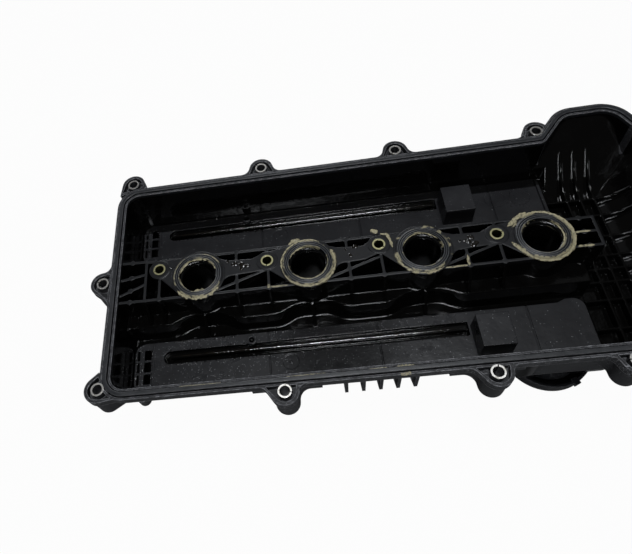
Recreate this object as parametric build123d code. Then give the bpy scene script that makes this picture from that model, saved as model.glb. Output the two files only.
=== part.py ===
from build123d import *
import math
import os

# Engine valve cover for a four-cylinder engine, moulded in glass-filled nylon.
# It lies on its outside, with the sealing side up.
# Millimetres.  X runs along the cylinder row towards the chain end, Y across
# the head, Z up out of the open side.  Everything is drawn from plug well 1
# on the sealing plane and moved to the bottom centre of the part at the end.

# ---- driving dimensions: cylinder row and plan --------------------------------
PITCH = 88.0                # cylinder spacing
WELL_X = [number * PITCH for number in range(4)]
INNER_LEFT = -64.5          # inner wall faces at the sealing plane
INNER_RIGHT = 381.0
INNER_NEAR = -90.0
INNER_FAR = 87.5
HUMP_TOP = 113.5            # the wall steps out here to clear the cam drive
HUMP_FEET = (291.0, 363.0)
HUMP_SHOULDERS = (314.0, 352.0)
HUMP_R = 16.0
CORNER_R = 11.0
WALL = 3.0
RIM_WIDTH = 8.2
FLANGE_THICK = 7.0
NEAR_LEAN = 0.28            # the near wall leans in by this much per mm of depth
LEAN_START = -8.0
BULGE_X = (238.0, 294.0)    # beside the oil filler it stays upright for longer
BULGE_START = -40.0
BULGE_R = 6.0

# ---- heights below the sealing plane --------------------------------------------
LEDGE_Z = -26.0             # floor of the coil valley, seen from inside
SEAT_Z = -46.5              # ledge that carries the baffle plates
ROOF_Z = -62.0              # inner face of the cam chamber roofs
POCKET_Z = -52.0            # floor of the chain pocket
RIB_TOP_Z = -3.0
WELL_TOP_Z = -2.0

# ---- cam chambers ------------------------------------------------------------------
LEDGE_Y = 29.8              # chamber wall at the valley side
SCALLOP_Y = 22.6            # the wall steps back here to clear the cam lobes
SCALLOP_HALF = 26.5
SCALLOP_FLAT = 14.0
SCALLOP_R = 22.0
CHAMBER_END = 300.0
CHAMBER_DRAFT = 4.5         # degrees

# ---- gasket groove -------------------------------------------------------------------
GROOVE_OFFSET = 4.1         # groove centre line, outwards from the inner wall
GROOVE_WIDTH = 4.8
GROOVE_DEPTH = 4.0
GASKET_WIDTH = 3.0
GASKET_PROUD = 1.2

# ---- fastening sleeves -----------------------------------------------------------------
SLEEVE_R = 5.0
SLEEVE_BORE_R = 3.7
SLEEVE_SLOT = 0.7
SLEEVE_FIT = 0.05           # radial gap between a sleeve and its moulded hole
SLEEVE_PROUD = 0.3
COLUMN_Z = -26.5            # bolt head face of the outer columns
COLUMN_R = 9.0
BOSS_R = 10.2
BOSS_LIP = 2.6
BOSS_POCKET_Z = -6.0
BOSS_BACK = 7.5             # how far a boss's flanks reach in over the rim
BOSS_FLARE = 7.0            # concave corner where a flank meets the rim
COLUMN_BACK = 14.0          # how far a column's flanks reach in through the wall
COLUMN_FLARE = 8.0          # the same where a column meets the wall
COLUMN_FLANK = 0.8          # the foot of a column's flank, past its radius
CENTRE_SLEEVE_Z = -33.0
CENTRE_BOSS_R = 8.5
CENTRE_PADS = [(-32.0, 9.0), (56.0, 6.0), (144.0, 9.0), (232.0, 6.0)]
STUD_Z = -15.0
FAR_BOLT_Y = 100.9
NEAR_BOLT_Y = -102.1

# (x, y, outward direction in degrees, flank before it, flank after it,
# sides where the flank flares into a straight rim: -1 before, 1 after)
BOSSES = [
    (-60.0, FAR_BOLT_Y, 105.0, 9.0, 14.0, ()),
    (56.0, FAR_BOLT_Y, 90.0, 13.0, 13.0, (-1, 1)),
    (172.0, FAR_BOLT_Y, 90.0, 13.0, 13.0, (-1, 1)),
    (288.0, FAR_BOLT_Y, 90.0, 12.0, 13.0, (1,)),
    (375.0, FAR_BOLT_Y, 90.0, 13.0, 12.0, ()),
    (-78.4, 0.5, 180.0, 11.0, 18.0, (-1, 1)),
    (-73.3, -88.6, 215.0, 9.2, 15.0, ()),
    (62.8, NEAR_BOLT_Y, 270.0, 17.0, 11.0, (-1, 1)),
    (204.6, NEAR_BOLT_Y, 270.0, 17.0, 11.0, (-1, 1)),
    (291.2, NEAR_BOLT_Y, 270.0, 14.0, 14.0, (-1, 1)),
    (378.0, NEAR_BOLT_Y, 270.0, 14.0, 11.0, (-1,)),
    (393.5, 0.5, 0.0, 14.0, 14.0, (-1, 1)),
]

# ---- plug wells -----------------------------------------------------------------------------
WELL_RING_R = 22.0
WELL_FOOT_R = 22.6
WELL_BORE_R = 14.6
SEAL_OUTER_R = 20.0
SEAL_INNER_R = 13.4
SEAL_BODY_R = 15.4
SEAL_SEAT_Z = -10.0
SEAL_TOP_Z = -1.4
SEAL_LIP_Z = (-7.2, -4.4)
TOWER_R = 18.6
TOWER_Z = -50.0
INSERT_R = 3.6
INSERT_BORE_R = 2.5
INSERT_LENGTH = 12.0
COIL_BOLT = (24.5, -11.5)   # from its well axis
COIL_BOSS_R = 6.2

# ---- spine ribs --------------------------------------------------------------------------------
RIB = 2.2
NODE_R = 2.3
SPINE_Y = 17.7
SPINE_LEFT = -43.5
CELL_RIB_X = 31.3           # from the well axis
STRIP_WIDTH = 12.5
STRIP_Y = 3.4
END_RIB_X = 303.0

# ---- chain pocket --------------------------------------------------------------------------------
POCKET_START = 296.0
GRID_Z = -44.5
GRID_X = [312.0, 323.0, 334.0]
GRID_Y = [57.0, 39.8, 19.0, 1.0, -11.0, -22.5, -38.0, -61.8]
GRID_RIB = 1.8
SLOPE_FOOT_Y = 68.0
SLOPE_FOOT_X = 345.0
SLOPE_R = 36.0
RIDGE_FAR = [(55.0, 0.0), (72.0, 3.9), (86.0, 15.3)]        # (y, height over the grid) up the far slope
RIDGE_END = [(337.0, 0.0), (348.0, 2.7), (358.0, 11.0)]     # (x, height over the grid) up the end slope
SLOPE_TOP_Z = -5.0

# ---- baffle plates: drawn for the near chamber, repeated in the far one ------------------------------
BAFFLE_STEP = 121.5         # from the near plate to the far plate
BAFFLE_TOP_Z = -44.0
BAFFLE_X = (-62.3, 294.0)
BAFFLE_Y = (-78.2, -36.2)
SEAT_LAP = 2.2
BOX_X = (207.2, 231.0)
BOX_Y = (-73.6, -47.8)
BOX_TOP_Z = -25.0
BOX_WALL = 1.8
TROUGH_X = (-38.0, 205.0)
TROUGH_Y = (-56.0, -44.8)
TROUGH_Z = -51.0
TROUGH_WALL = 1.6
SHELF_Y = -50.2
SHELF_Z = -47.2
SEAM_X = (49.3, 136.5, 251.5)
SEAM_WIDTH = 1.2
SEAM_DEPTH = 0.8
DRAIN_TUBE = (35.6, -43.0)
DRAIN_TUBE_R = 3.9
DRAIN_BORE_R = 2.3
DRAIN_TOP_Z = -41.0
GATE_MARK = (66.0, -63.7)
GATE_MARK_R = 6.4
LADDER_COLUMNS = ((-60.6, -58.4), (-54.6, -48.6))
RUNG_PITCH = 10.4
RUNG = 1.8

# ---- oil filler -----------------------------------------------------------------------------------------
FILLER = (266.0, -62.0)
FILLER_BORE_R = 21.0
FILLER_NECK_R = 24.5
FILLER_NECK_Z = -74.0
CAP_R = 32.5
CAP_TOP_Z = -80.0
CAP_SKIRT_Z = -69.5
CAP_PLUG_R = 20.4
CAP_TAB_HEADING = -66.0     # pointer tab on the skirt, at rest
LEDGE_BORE_R = 18.6
LUG_R = 20.2
GRIP_HEIGHT = 5.0

# ---- pressure valve of the breather, on the far chamber roof ---------------------------------------------
BREATHER = (24.0, 62.0)
BREATHER_R = 27.0
BREATHER_Z = -75.0
VALVE_R = 23.0
VALVE_FLOOR_Z = -68.0
VALVE_PORT_R = 6.0
NIPPLE_Z = -69.6
NIPPLE_R = 4.5
NIPPLE_BORE_R = 3.0
NIPPLE_TIP_Y = 118.0
NIPPLE_COLLAR_R = 5.3       # the stop that the hose is pushed up to
NIPPLE_COLLAR_Y = 95.0


def rounded_face(corners):
    """Face through (x, y, radius) corners, each rounded by its own radius."""
    face = make_face(Polyline(*[(x, y) for x, y, _ in corners], close=True))
    for x, y, radius in corners:
        if radius > 0:
            near = min(face.vertices(), key=lambda v: math.hypot(v.X - x, v.Y - y))
            face = fillet(near, radius)
    return face


def slab(face, top, bottom):
    """Straight block of a plan face between two heights."""
    return extrude(Pos(0, 0, top) * face, amount=bottom - top, dir=(0, 0, 1))


def disc(x, y, radius):
    """Round plan face."""
    return Pos(x, y) * Circle(radius)


def bar(start, end, width, top, bottom):
    """Straight rib between two plan points."""
    length = math.dist(start, end)
    angle = math.degrees(math.atan2(end[1] - start[1], end[0] - start[0]))
    middle = ((start[0] + end[0]) / 2, (start[1] + end[1]) / 2)
    face = Pos(*middle) * Rot(0, 0, angle) * Rectangle(length, width)
    return slab(face, top, bottom)


def post(x, y, radius, top, bottom):
    """Round post between two heights."""
    return slab(disc(x, y, radius), top, bottom)


def rib_node(x, y, low):
    """Thickened crossing of ribs, an eight-sided pad."""
    return slab(Pos(x, y) * RegularPolygon(NODE_R, 8), RIB_TOP_Z, low)


def across_x(profile, start, end):
    """Block of a (y, z) profile along X."""
    plane = Plane(origin=(start, 0, 0), x_dir=(0, 1, 0), z_dir=(1, 0, 0))
    return extrude(plane * profile, amount=end - start)


def across_y(profile, start, end):
    """Block of an (x, z) profile along Y."""
    plane = Plane(origin=(0, start, 0), x_dir=(1, 0, 0), z_dir=(0, -1, 0))
    return extrude(plane * profile, amount=start - end)


# ---- plan outlines -------------------------------------------------------------------------------------

def main_outline():
    """Inner wall face without the hump."""
    return rounded_face([
        (INNER_LEFT, INNER_NEAR, CORNER_R), (INNER_RIGHT, INNER_NEAR, CORNER_R),
        (INNER_RIGHT, INNER_FAR, CORNER_R), (INNER_LEFT, INNER_FAR, CORNER_R),
    ])


def inner_outline():
    """Inner wall face all the way round, with the hump at the chain end."""
    return rounded_face([
        (INNER_LEFT, INNER_NEAR, CORNER_R),
        (INNER_RIGHT, INNER_NEAR, CORNER_R),
        (INNER_RIGHT, INNER_FAR, CORNER_R),
        (HUMP_FEET[1], INNER_FAR, 6.0),
        (HUMP_SHOULDERS[1], HUMP_TOP, HUMP_R),
        (HUMP_SHOULDERS[0], HUMP_TOP, HUMP_R),
        (HUMP_FEET[0], INNER_FAR, 8.0),
        (INNER_LEFT, INNER_FAR, CORNER_R),
    ])


def chamber_outline(side):
    """Cam chamber in plan: side is -1 for the near one and 1 for the far one."""
    wall = INNER_NEAR if side < 0 else INNER_FAR
    corners = [
        (INNER_LEFT, wall, CORNER_R),
        (CHAMBER_END, wall, 0),
        (CHAMBER_END, side * LEDGE_Y, 0),
    ]
    for x in reversed(WELL_X[:3]):
        corners += [
            (x + SCALLOP_HALF, side * LEDGE_Y, SCALLOP_R),
            (x + SCALLOP_FLAT, side * SCALLOP_Y, SCALLOP_R),
            (x - SCALLOP_FLAT, side * SCALLOP_Y, SCALLOP_R),
            (x - SCALLOP_HALF, side * LEDGE_Y, SCALLOP_R),
        ]
    corners.append((INNER_LEFT, side * LEDGE_Y, 3.0))
    return rounded_face(corners)


def rim_distance(boss):
    """From a boss's centre back to the straight rim that it stands on."""
    x, y, heading = boss[:3]
    reach = {90.0: y - INNER_FAR, 180.0: INNER_LEFT - x, 270.0: INNER_NEAR - y, 0.0: x - INNER_RIGHT}
    return reach[heading] - RIM_WIDTH


def boss_outline(boss, radius, feet, back, flare=0.0, wall=0.0):
    """Bolt boss in plan: a round nose on two straight flanks, flared into the wall behind it.

    feet holds how far each flank reaches sideways, back how far behind the centre it
    starts, and wall how far behind the centre the wall's face lies.  A short flank
    limits its flare.
    """
    x, y, heading = boss[:3]
    points = []
    for sign in (-1, 1):
        foot = (-sign * max(feet[sign], radius + 0.6), -back)
        lean = math.hypot(foot[0], foot[1])
        swing = math.acos(radius / lean)
        base = math.atan2(foot[1], foot[0])
        angle = base - sign * swing
        points.append((foot, (radius * math.cos(angle), radius * math.sin(angle))))
    (foot_a, touch_a), (foot_b, touch_b) = points
    face = make_face(Polyline(foot_a, touch_a, touch_b, foot_b, close=True)) + Circle(radius)
    for sign in boss[5] if flare else ():
        foot, touch = points[(sign + 1) // 2]
        end = -sign * (abs(foot[0]) + 2 * flare)
        strip = Polyline((0.0, -back), (end, -back), (end, -wall), (0.0, -wall), close=True)
        face += make_face(strip)
        corners = [v for v in face.vertices() if abs(v.Y + wall) < 1e-6 and v.X * end > 0]
        corner = min(corners, key=lambda v: abs(v.X))
        turn = math.atan2(touch[1] - foot[1], abs(foot[0] - touch[0]))
        limit = 0.9 * math.dist((corner.X, corner.Y), touch) / math.tan(turn / 2)
        face = fillet(corner, min(flare, limit))
    return Pos(x, y) * Rot(0, 0, heading - 90.0) * face


def rim_boss(boss):
    """Plan of a boss on the sealing flange."""
    wall = rim_distance(boss) if boss[5] else 0.0
    return boss_outline(boss, BOSS_R, {-1: boss[3], 1: boss[4]}, BOSS_BACK, BOSS_FLARE, wall)


def column(boss):
    """Plan of the bolt column below a boss."""
    wall = rim_distance(boss) + RIM_WIDTH - WALL if boss[5] else 0.0
    reach = COLUMN_R + COLUMN_FLANK
    return boss_outline(boss, COLUMN_R, {-1: reach, 1: reach}, COLUMN_BACK, COLUMN_FLARE, wall)


# ---- cover shell --------------------------------------------------------------------------------------------

def lean_room(grow):
    """Everything on the inner side of the leaning near wall, grown outwards."""
    wall = INNER_NEAR - grow
    bottom = -120.0
    rooms = []
    for knee, low, high in ((LEAN_START, INNER_LEFT - 40.0, INNER_RIGHT + 40.0),
                            (BULGE_START, BULGE_X[0] - grow, BULGE_X[1] + grow)):
        lean = (knee - bottom) * NEAR_LEAN
        profile = make_face(Polyline(
            (wall, 10.0), (wall, knee), (wall + lean, bottom), (200.0, bottom), (200.0, 10.0),
            close=True))
        rooms.append(across_x(profile, low, high))
    middle = sum(BULGE_X) / 2
    length = BULGE_X[1] - BULGE_X[0] + 2 * grow
    plan = Pos(middle, wall + 100.0) * RectangleRounded(length, 200.0, BULGE_R + grow)
    return rooms[0] + (rooms[1] & slab(plan, 20.0, bottom))


def pocket_profiles(grow, start):
    """Bowl of the chain pocket as one (y, z) and one (x, z) profile."""
    floor = POCKET_Z - grow
    slope = (HUMP_TOP - SLOPE_FOOT_Y, SLOPE_TOP_Z - POCKET_Z)
    shift = grow * (math.hypot(*slope) - slope[0]) / slope[1]
    lengthwise = rounded_face([
        (INNER_NEAR - grow, 6.0, 0),
        (INNER_NEAR - grow, floor, 0),
        (SLOPE_FOOT_Y + shift, floor, SLOPE_R + grow),
        (HUMP_TOP + grow, SLOPE_TOP_Z - shift, 5.0),
        (HUMP_TOP + grow, 6.0, 0),
    ])
    crosswise = rounded_face([
        (start - grow, 6.0, 0),
        (start - grow, floor, 0),
        (SLOPE_FOOT_X + shift, floor, SLOPE_R + grow),
        (INNER_RIGHT + grow, -14.0 - shift, 5.0),
        (INNER_RIGHT + grow, 6.0, 0),
    ])
    return lengthwise, crosswise


def pocket_block(grow):
    """The chain pocket as a solid, grown outwards by a wall thickness."""
    block = None
    plan = offset(inner_outline(), grow) if grow else inner_outline()
    top = 0.0 if grow else 1.0
    for start, near in ((POCKET_START, -140.0), (HUMP_FEET[0] - 3.0, INNER_FAR - 3.0)):
        lengthwise, crosswise = pocket_profiles(grow, start)
        part = across_x(lengthwise, start - grow, INNER_RIGHT + grow)
        part &= across_y(crosswise, near - grow, 140.0)
        block = part if block is None else block + part
    return block & slab(plan, top, POCKET_Z - grow) & lean_room(grow)


def chamber_cavity(side):
    """Cam chamber down to its baffle ledge, then the separator space behind it."""
    upper = extrude(
        Pos(0, 0, LEDGE_Z) * chamber_outline(side),
        amount=SEAT_Z - LEDGE_Z, dir=(0, 0, 1), taper=CHAMBER_DRAFT)
    lift = 0.0 if side < 0 else BAFFLE_STEP
    length = BAFFLE_X[1] - BAFFLE_X[0] - 2 * SEAT_LAP
    depth = BAFFLE_Y[1] - BAFFLE_Y[0] - 2 * SEAT_LAP
    middle = (sum(BAFFLE_X) / 2, sum(BAFFLE_Y) / 2 + lift)
    plan = Pos(*middle) * RectangleRounded(length, depth, 7.0)
    space = slab(plan, SEAT_Z + 0.5, ROOF_Z)
    if side < 0:
        space += post(*FILLER, LUG_R + 1.2, SEAT_Z - 4.0, ROOF_Z)
    room = lean_room(0.0)
    return upper & room, space & room


def envelope():
    """Outer form of the cover below the flange, with no hollows."""
    body = slab(offset(main_outline(), WALL), 0.0, LEDGE_Z - WALL)
    for side in (-1, 1):
        plan = offset(chamber_outline(side), WALL)
        body += slab(plan, LEDGE_Z, ROOF_Z - WALL)
    return (body & lean_room(WALL)) + pocket_block(WALL)


def flange():
    """Sealing flange with the outer bolt bosses, before any hole."""
    plan = offset(inner_outline(), RIM_WIDTH)
    for boss in BOSSES:
        plan += rim_boss(boss)
    return slab(plan, 0.0, -FLANGE_THICK)


def columns():
    """Bolt columns that hang from the flange bosses."""
    made = None
    for boss in BOSSES:
        block = slab(column(boss), -FLANGE_THICK + 1.0, COLUMN_Z)
        made = block if made is None else made + block
    return made


def wells():
    """Plug tubes from the ledge floor up to their seal rings, with the towers below."""
    made = None
    for x in WELL_X:
        tube = Pos(x, 0, LEDGE_Z - 1.0) * extrude(
            Circle(WELL_FOOT_R), amount=WELL_TOP_Z - LEDGE_Z + 1.0,
            taper=math.degrees(math.atan((WELL_FOOT_R - WELL_RING_R) / (WELL_TOP_Z - LEDGE_Z))))
        tower = post(x, 0.0, TOWER_R, LEDGE_Z, TOWER_Z)
        bolt = post(x + COIL_BOLT[0], COIL_BOLT[1], COIL_BOSS_R, LEDGE_Z, TOWER_Z + 4.0)
        web = bar((x, 0.0), (x + COIL_BOLT[0], COIL_BOLT[1]), 5.0, LEDGE_Z, TOWER_Z + 8.0)
        block = tube + tower + bolt + web
        made = block if made is None else made + block
    return made


def centre_pads():
    """Inner bolt pads, each joined to its well by a tear-drop web, and the strips between."""
    made = None
    for number, (x, y) in enumerate(CENTRE_PADS):
        pad = post(x, y, CENTRE_BOSS_R, WELL_TOP_Z, CENTRE_SLEEVE_Z + 1.0)
        well = WELL_X[number]
        web = Polyline((x, y + CENTRE_BOSS_R), (well - 13.0, 17.5), (well - 13.0, -17.5),
                       (x + 1.0, y - CENTRE_BOSS_R), close=True)
        pad += slab(make_face(web), WELL_TOP_Z - 0.5, LEDGE_Z - 1.0)
        made = pad if made is None else made + pad
    for number in range(3):
        x = WELL_X[number]
        pad_x, pad_y = CENTRE_PADS[number + 1]
        half = STRIP_WIDTH / 2
        strip = rounded_face([
            (x + 16.0, 14.0, 0), (x + 24.5, STRIP_Y + half + 1.0, 7.0),
            (pad_x - 12.0, STRIP_Y + half, 7.0), (pad_x - 2.0, pad_y + 8.4, 0),
            (pad_x - 2.0, pad_y - 8.0, 0), (pad_x - 12.0, STRIP_Y - half, 7.0),
            (x + 24.5, STRIP_Y - half - 1.0, 7.0), (x + 16.0, -12.0, 0),
        ])
        made += slab(strip, WELL_TOP_Z - 0.5, LEDGE_Z - 1.0)
    return made


def spine_ribs():
    """Rib network on the ledge floor between and around the wells."""
    low = LEDGE_Z - 1.0
    bars = []
    nodes = []
    right = WELL_X[3] - 10.0
    for y in (-SPINE_Y, SPINE_Y):
        bars.append(((SPINE_LEFT, y), (right, y)))
    bars.append(((SPINE_LEFT, -SPINE_Y), (SPINE_LEFT, SPINE_Y)))
    for number, x in enumerate(WELL_X):
        pad_x, pad_y = CENTRE_PADS[number]
        bars.append(((pad_x + 0.3, -SPINE_Y), (pad_x + 0.3, SPINE_Y)))
        nodes.append((pad_x + 0.3, -SPINE_Y))
        if number < 3:
            cell = x + CELL_RIB_X
            next_x, next_y = CENTRE_PADS[number + 1]
            bars.append(((cell, -SPINE_Y), (cell, SPINE_Y)))
            bars.append(((x + 15.0, -15.2), (next_x, -1.2)))
            nodes += [(cell, -SPINE_Y), (cell, -9.2), (cell, SPINE_Y)]
    left_ribs = [((-66.4, 19.2), (SPINE_LEFT, 18.6)), ((-66.4, 2.6), (SPINE_LEFT, 6.4)),
                 ((-66.4, -12.2), (SPINE_LEFT, -2.6)), ((-66.4, -17.5), (SPINE_LEFT, -SPINE_Y))]
    for start, end in left_ribs:
        bars.append((start, end))
        nodes.append(((start[0] + end[0]) / 2 - 0.7, (start[1] + end[1]) / 2))
    made = None
    for start, end in bars:
        block = bar(start, end, RIB, RIB_TOP_Z, low)
        made = block if made is None else made + block
    for x, y in nodes:
        made += rib_node(x, y, low)
    return made


def end_frame():
    """Three ribs and a cross rib that tie well 4 to the chain pocket floor."""
    made = bar((END_RIB_X, -13.4), (END_RIB_X, 13.4), RIB, RIB_TOP_Z, POCKET_Z - 1.0)
    for y in (-12.3, 0.0, 12.3):
        made += bar((WELL_X[3] + 18.0, y), (END_RIB_X, y), RIB, RIB_TOP_Z, POCKET_Z - 1.0)
        made += rib_node(WELL_X[3] + 29.5, y, LEDGE_Z)
    return made


def gussets():
    """Slanted fins from the spine wall to the ledge, and below it in the scallops."""
    made = None
    places = [SPINE_LEFT]
    for number, x in enumerate(WELL_X):
        places.append(CENTRE_PADS[number][0] + 0.3)
        if number < 3:
            places.append(x + CELL_RIB_X)
    for side in (-1, 1):
        for x in places:
            fin = make_face(Polyline(
                (side * (SPINE_Y - 1.0), RIB_TOP_Z - 2.0), (side * (SPINE_Y + 1.3), RIB_TOP_Z - 2.0),
                (side * (LEDGE_Y - 0.8), LEDGE_Z + 0.6), (side * (LEDGE_Y - 0.8), LEDGE_Z - 1.0),
                (side * (SPINE_Y - 1.0), LEDGE_Z - 1.0), close=True))
            block = across_x(fin, x - RIB / 2, x + RIB / 2)
            made = block if made is None else made + block
        for x in WELL_X[:3]:
            fin = make_face(Polyline(
                (side * (SCALLOP_Y - 1.5), LEDGE_Z - 0.4), (side * (SCALLOP_Y + 1.2), LEDGE_Z - 0.4),
                (side * (LEDGE_Y + 4.6), SEAT_Z + 3.0), (side * (LEDGE_Y + 4.6), SEAT_Z - 1.0),
                (side * (SCALLOP_Y - 1.5), SEAT_Z - 1.0), close=True))
            made += across_x(fin, x - 1.4, x + 1.0)
    return made


def pocket_ribs():
    """Rib grid on the floor of the chain pocket, running up its slopes."""
    low = POCKET_Z - 1.0
    ridge = [(y, GRID_Z + height) for y, height in RIDGE_FAR]
    rise = make_face(
        Polyline((80.0, low), (INNER_NEAR - 1.0, low), (INNER_NEAR - 1.0, GRID_Z), ridge[0])
        + ThreePointArc(*ridge) + Polyline(ridge[2], (94.0, -24.5), (98.0, -26.0), (80.0, low)))
    made = None
    for x in GRID_X:
        block = across_x(rise, x - GRID_RIB / 2, x + GRID_RIB / 2)
        made = block if made is None else made + block
    ridge = [(x, GRID_Z + height) for x, height in RIDGE_END]
    climb = make_face(
        Polyline((352.0, low), (POCKET_START - 1.0, low), (POCKET_START - 1.0, GRID_Z), ridge[0])
        + ThreePointArc(*ridge) + Polyline(ridge[2], (363.0, GRID_Z + 11.0), (352.0, low)))
    for y in GRID_Y:
        made += across_y(climb, y + GRID_RIB / 2, y - GRID_RIB / 2)
    return made


def side_fins():
    """Stiffening fins and a locating stud under the flange on the near wall."""
    fin = make_face(Polyline((-91.0, -5.0), (-97.6, -5.0), (-97.6, -28.5), (-83.0, -42.0),
                             (-81.5, -42.0), (-90.0, -12.0), close=True))
    made = None
    for number in range(5):
        x = 105.5 + number * 12.2
        block = across_x(fin, x - 1.2, x + 1.2)
        made = block if made is None else made + block
    return made + post(-41.0, -94.4, 4.6, -FLANGE_THICK + 1.0, STUD_Z)


def filler_neck():
    """Oil filler neck on the near chamber roof, before its bore."""
    return post(*FILLER, FILLER_NECK_R, ROOF_Z, FILLER_NECK_Z)


def nipple(radius, tip):
    """Round bar along the hose nipple, from the side of the valve seat out over the far wall."""
    x, y = BREATHER
    start = y + VALVE_R - 3.0
    rod = Cylinder(radius, tip - start, align=(Align.CENTER, Align.CENTER, Align.MIN))
    return Pos(x, start, NIPPLE_Z) * Rot(-90, 0, 0) * rod


def breather_base():
    """Seat for the pressure valve on the far chamber roof, with the hose nipple."""
    x, y = BREATHER
    seat = post(x, y, BREATHER_R, ROOF_Z - 1.0, BREATHER_Z)
    return seat + nipple(NIPPLE_COLLAR_R, NIPPLE_COLLAR_Y) + nipple(NIPPLE_R, NIPPLE_TIP_Y)


def rim_band(inner, outer, top, bottom):
    """Closed band that follows the rim between two offsets from the inner wall."""
    outline = inner_outline()
    return slab(offset(outline, outer), top, bottom) - slab(offset(outline, inner), top + 1, bottom - 1)


def filler_bore():
    """Bore of the filler neck: wide outside, a ledge with two lug slots inside."""
    x, y = FILLER
    ledge = ROOF_Z - WALL
    bore = post(x, y, FILLER_BORE_R, ledge, FILLER_NECK_Z - 1.0)
    bore += post(x, y, LEDGE_BORE_R, ROOF_Z + 1.0, ledge - 1.0)
    slot = Pos(x, y) * Rectangle(2 * LEDGE_BORE_R + 6.0, 13.0)
    return bore + slab(slot & disc(x, y, LUG_R + 0.6), ROOF_Z + 1.0, ledge - 1.0)


def openings():
    """Everything cut through or into the moulding."""
    half = GROOVE_WIDTH / 2
    cut = rim_band(GROOVE_OFFSET - half, GROOVE_OFFSET + half, 1.0, -GROOVE_DEPTH)
    for x in WELL_X:
        cut += post(x, 0.0, WELL_BORE_R, 1.0, TOWER_Z - 1.0)
        cut += post(x, 0.0, SEAL_OUTER_R + SLEEVE_FIT, 1.0, SEAL_SEAT_Z)
        bolt = (x + COIL_BOLT[0], COIL_BOLT[1])
        cut += post(*bolt, INSERT_R + SLEEVE_FIT, TOWER_Z + 4.0 + INSERT_LENGTH, TOWER_Z)
    for boss in BOSSES:
        feet = {-1: boss[3] - BOSS_LIP, 1: boss[4] - BOSS_LIP}
        plan = boss_outline(boss, BOSS_R - BOSS_LIP, feet, BOSS_BACK - 0.9 * BOSS_LIP)
        plan -= offset(inner_outline(), RIM_WIDTH)
        cut += slab(plan, 1.0, BOSS_POCKET_Z)
        cut += post(boss[0], boss[1], SLEEVE_R + SLEEVE_FIT, 1.0, COLUMN_Z - 1.0)
    for x, y in CENTRE_PADS:
        cut += post(x, y, SLEEVE_R + SLEEVE_FIT, 1.0, CENTRE_SLEEVE_Z)
    for x in WELL_X[:3]:
        core = Pos(x + 35.0, STRIP_Y) * RectangleRounded(18.0, STRIP_WIDTH - 2 * WALL, 2.0)
        cut += slab(core, WELL_TOP_Z - 0.5 - WALL, LEDGE_Z - WALL - 1.0)
    cut += filler_bore()
    x, y = BREATHER
    cut += post(x, y, VALVE_R, VALVE_FLOOR_Z, BREATHER_Z - 1.0)
    cut += post(x, y, VALVE_PORT_R, ROOF_Z + 1.0, VALVE_FLOOR_Z - 1.0)
    return cut + nipple(NIPPLE_BORE_R, NIPPLE_TIP_Y + 1.0)


def cover_shell():
    """The one-piece moulded cover."""
    outer = envelope()
    shell = outer - (slab(main_outline(), 1.0, LEDGE_Z) & lean_room(0.0))
    shell += flange() - slab(inner_outline(), 1.0, -FLANGE_THICK - 1.0)
    shell += columns() - slab(inner_outline(), 1.0, COLUMN_Z - 1.0)
    for side in (-1, 1):
        upper, space = chamber_cavity(side)
        shell -= upper
        shell -= space
    shell -= pocket_block(0.0)
    shell += side_fins() + filler_neck() + breather_base()
    inside = spine_ribs() + gussets() + pocket_ribs() + end_frame()
    shell += inside & outer
    shell += wells() + centre_pads()
    return shell - openings()


# ---- loose pieces ---------------------------------------------------------------------------------------------

def perimeter_gasket():
    """Moulded rubber band in the rim groove, standing proud of it."""
    half = GASKET_WIDTH / 2
    return rim_band(GROOVE_OFFSET - half, GROOVE_OFFSET + half, GASKET_PROUD, -GROOVE_DEPTH)


def plug_seal(x):
    """Round seal in the mouth of one plug well: a body with a lip inside."""
    profile = make_face(Polyline(
        (SEAL_OUTER_R, SEAL_SEAT_Z), (SEAL_BODY_R, SEAL_SEAT_Z), (SEAL_BODY_R, SEAL_LIP_Z[0]),
        (SEAL_INNER_R, SEAL_LIP_Z[0]), (SEAL_INNER_R, SEAL_LIP_Z[1]), (SEAL_BODY_R, SEAL_LIP_Z[1]),
        (SEAL_BODY_R, SEAL_TOP_Z), (SEAL_OUTER_R, SEAL_TOP_Z), close=True))
    ring = revolve(Plane.XZ * profile, Axis.Z, 360)
    return Pos(x, 0, 0) * ring


def sleeve(x, y, top, bottom, slot_heading):
    """Rolled steel sleeve with its slot."""
    tube = post(x, y, SLEEVE_R, top, bottom) - post(x, y, SLEEVE_BORE_R, top + 1, bottom - 1)
    slot = Pos(x, y) * Rot(0, 0, slot_heading) * Pos(SLEEVE_R - 1.0, 0) * Rectangle(4.0, SLEEVE_SLOT)
    return tube - slab(slot, top + 1, bottom - 1)


def flange_sleeves():
    """Sleeves of all outer bolts."""
    made = []
    for number, boss in enumerate(BOSSES):
        heading = 40.0 + 95.0 * number
        made.append(sleeve(boss[0], boss[1], SLEEVE_PROUD, COLUMN_Z, heading))
    return Compound(children=made)


def centre_sleeves():
    """Sleeves of the four inner bolts."""
    made = []
    for number, (x, y) in enumerate(CENTRE_PADS):
        top = WELL_TOP_Z + SLEEVE_PROUD
        made.append(sleeve(x, y, top, CENTRE_SLEEVE_Z + 1.0, 200.0 + 60.0 * number))
    return Compound(children=made)


def stadium(grow):
    """Plan of the oil trough: round at its left end, square at the box."""
    width = TROUGH_Y[1] - TROUGH_Y[0] + 2 * grow
    left = TROUGH_X[0] - grow
    right = TROUGH_X[1] + grow
    middle = sum(TROUGH_Y) / 2
    return rounded_face([
        (left, middle - width / 2, width / 2 - 0.05), (right, middle - width / 2, 0),
        (right, middle + width / 2, 0), (left, middle + width / 2, width / 2 - 0.05),
    ])


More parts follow.
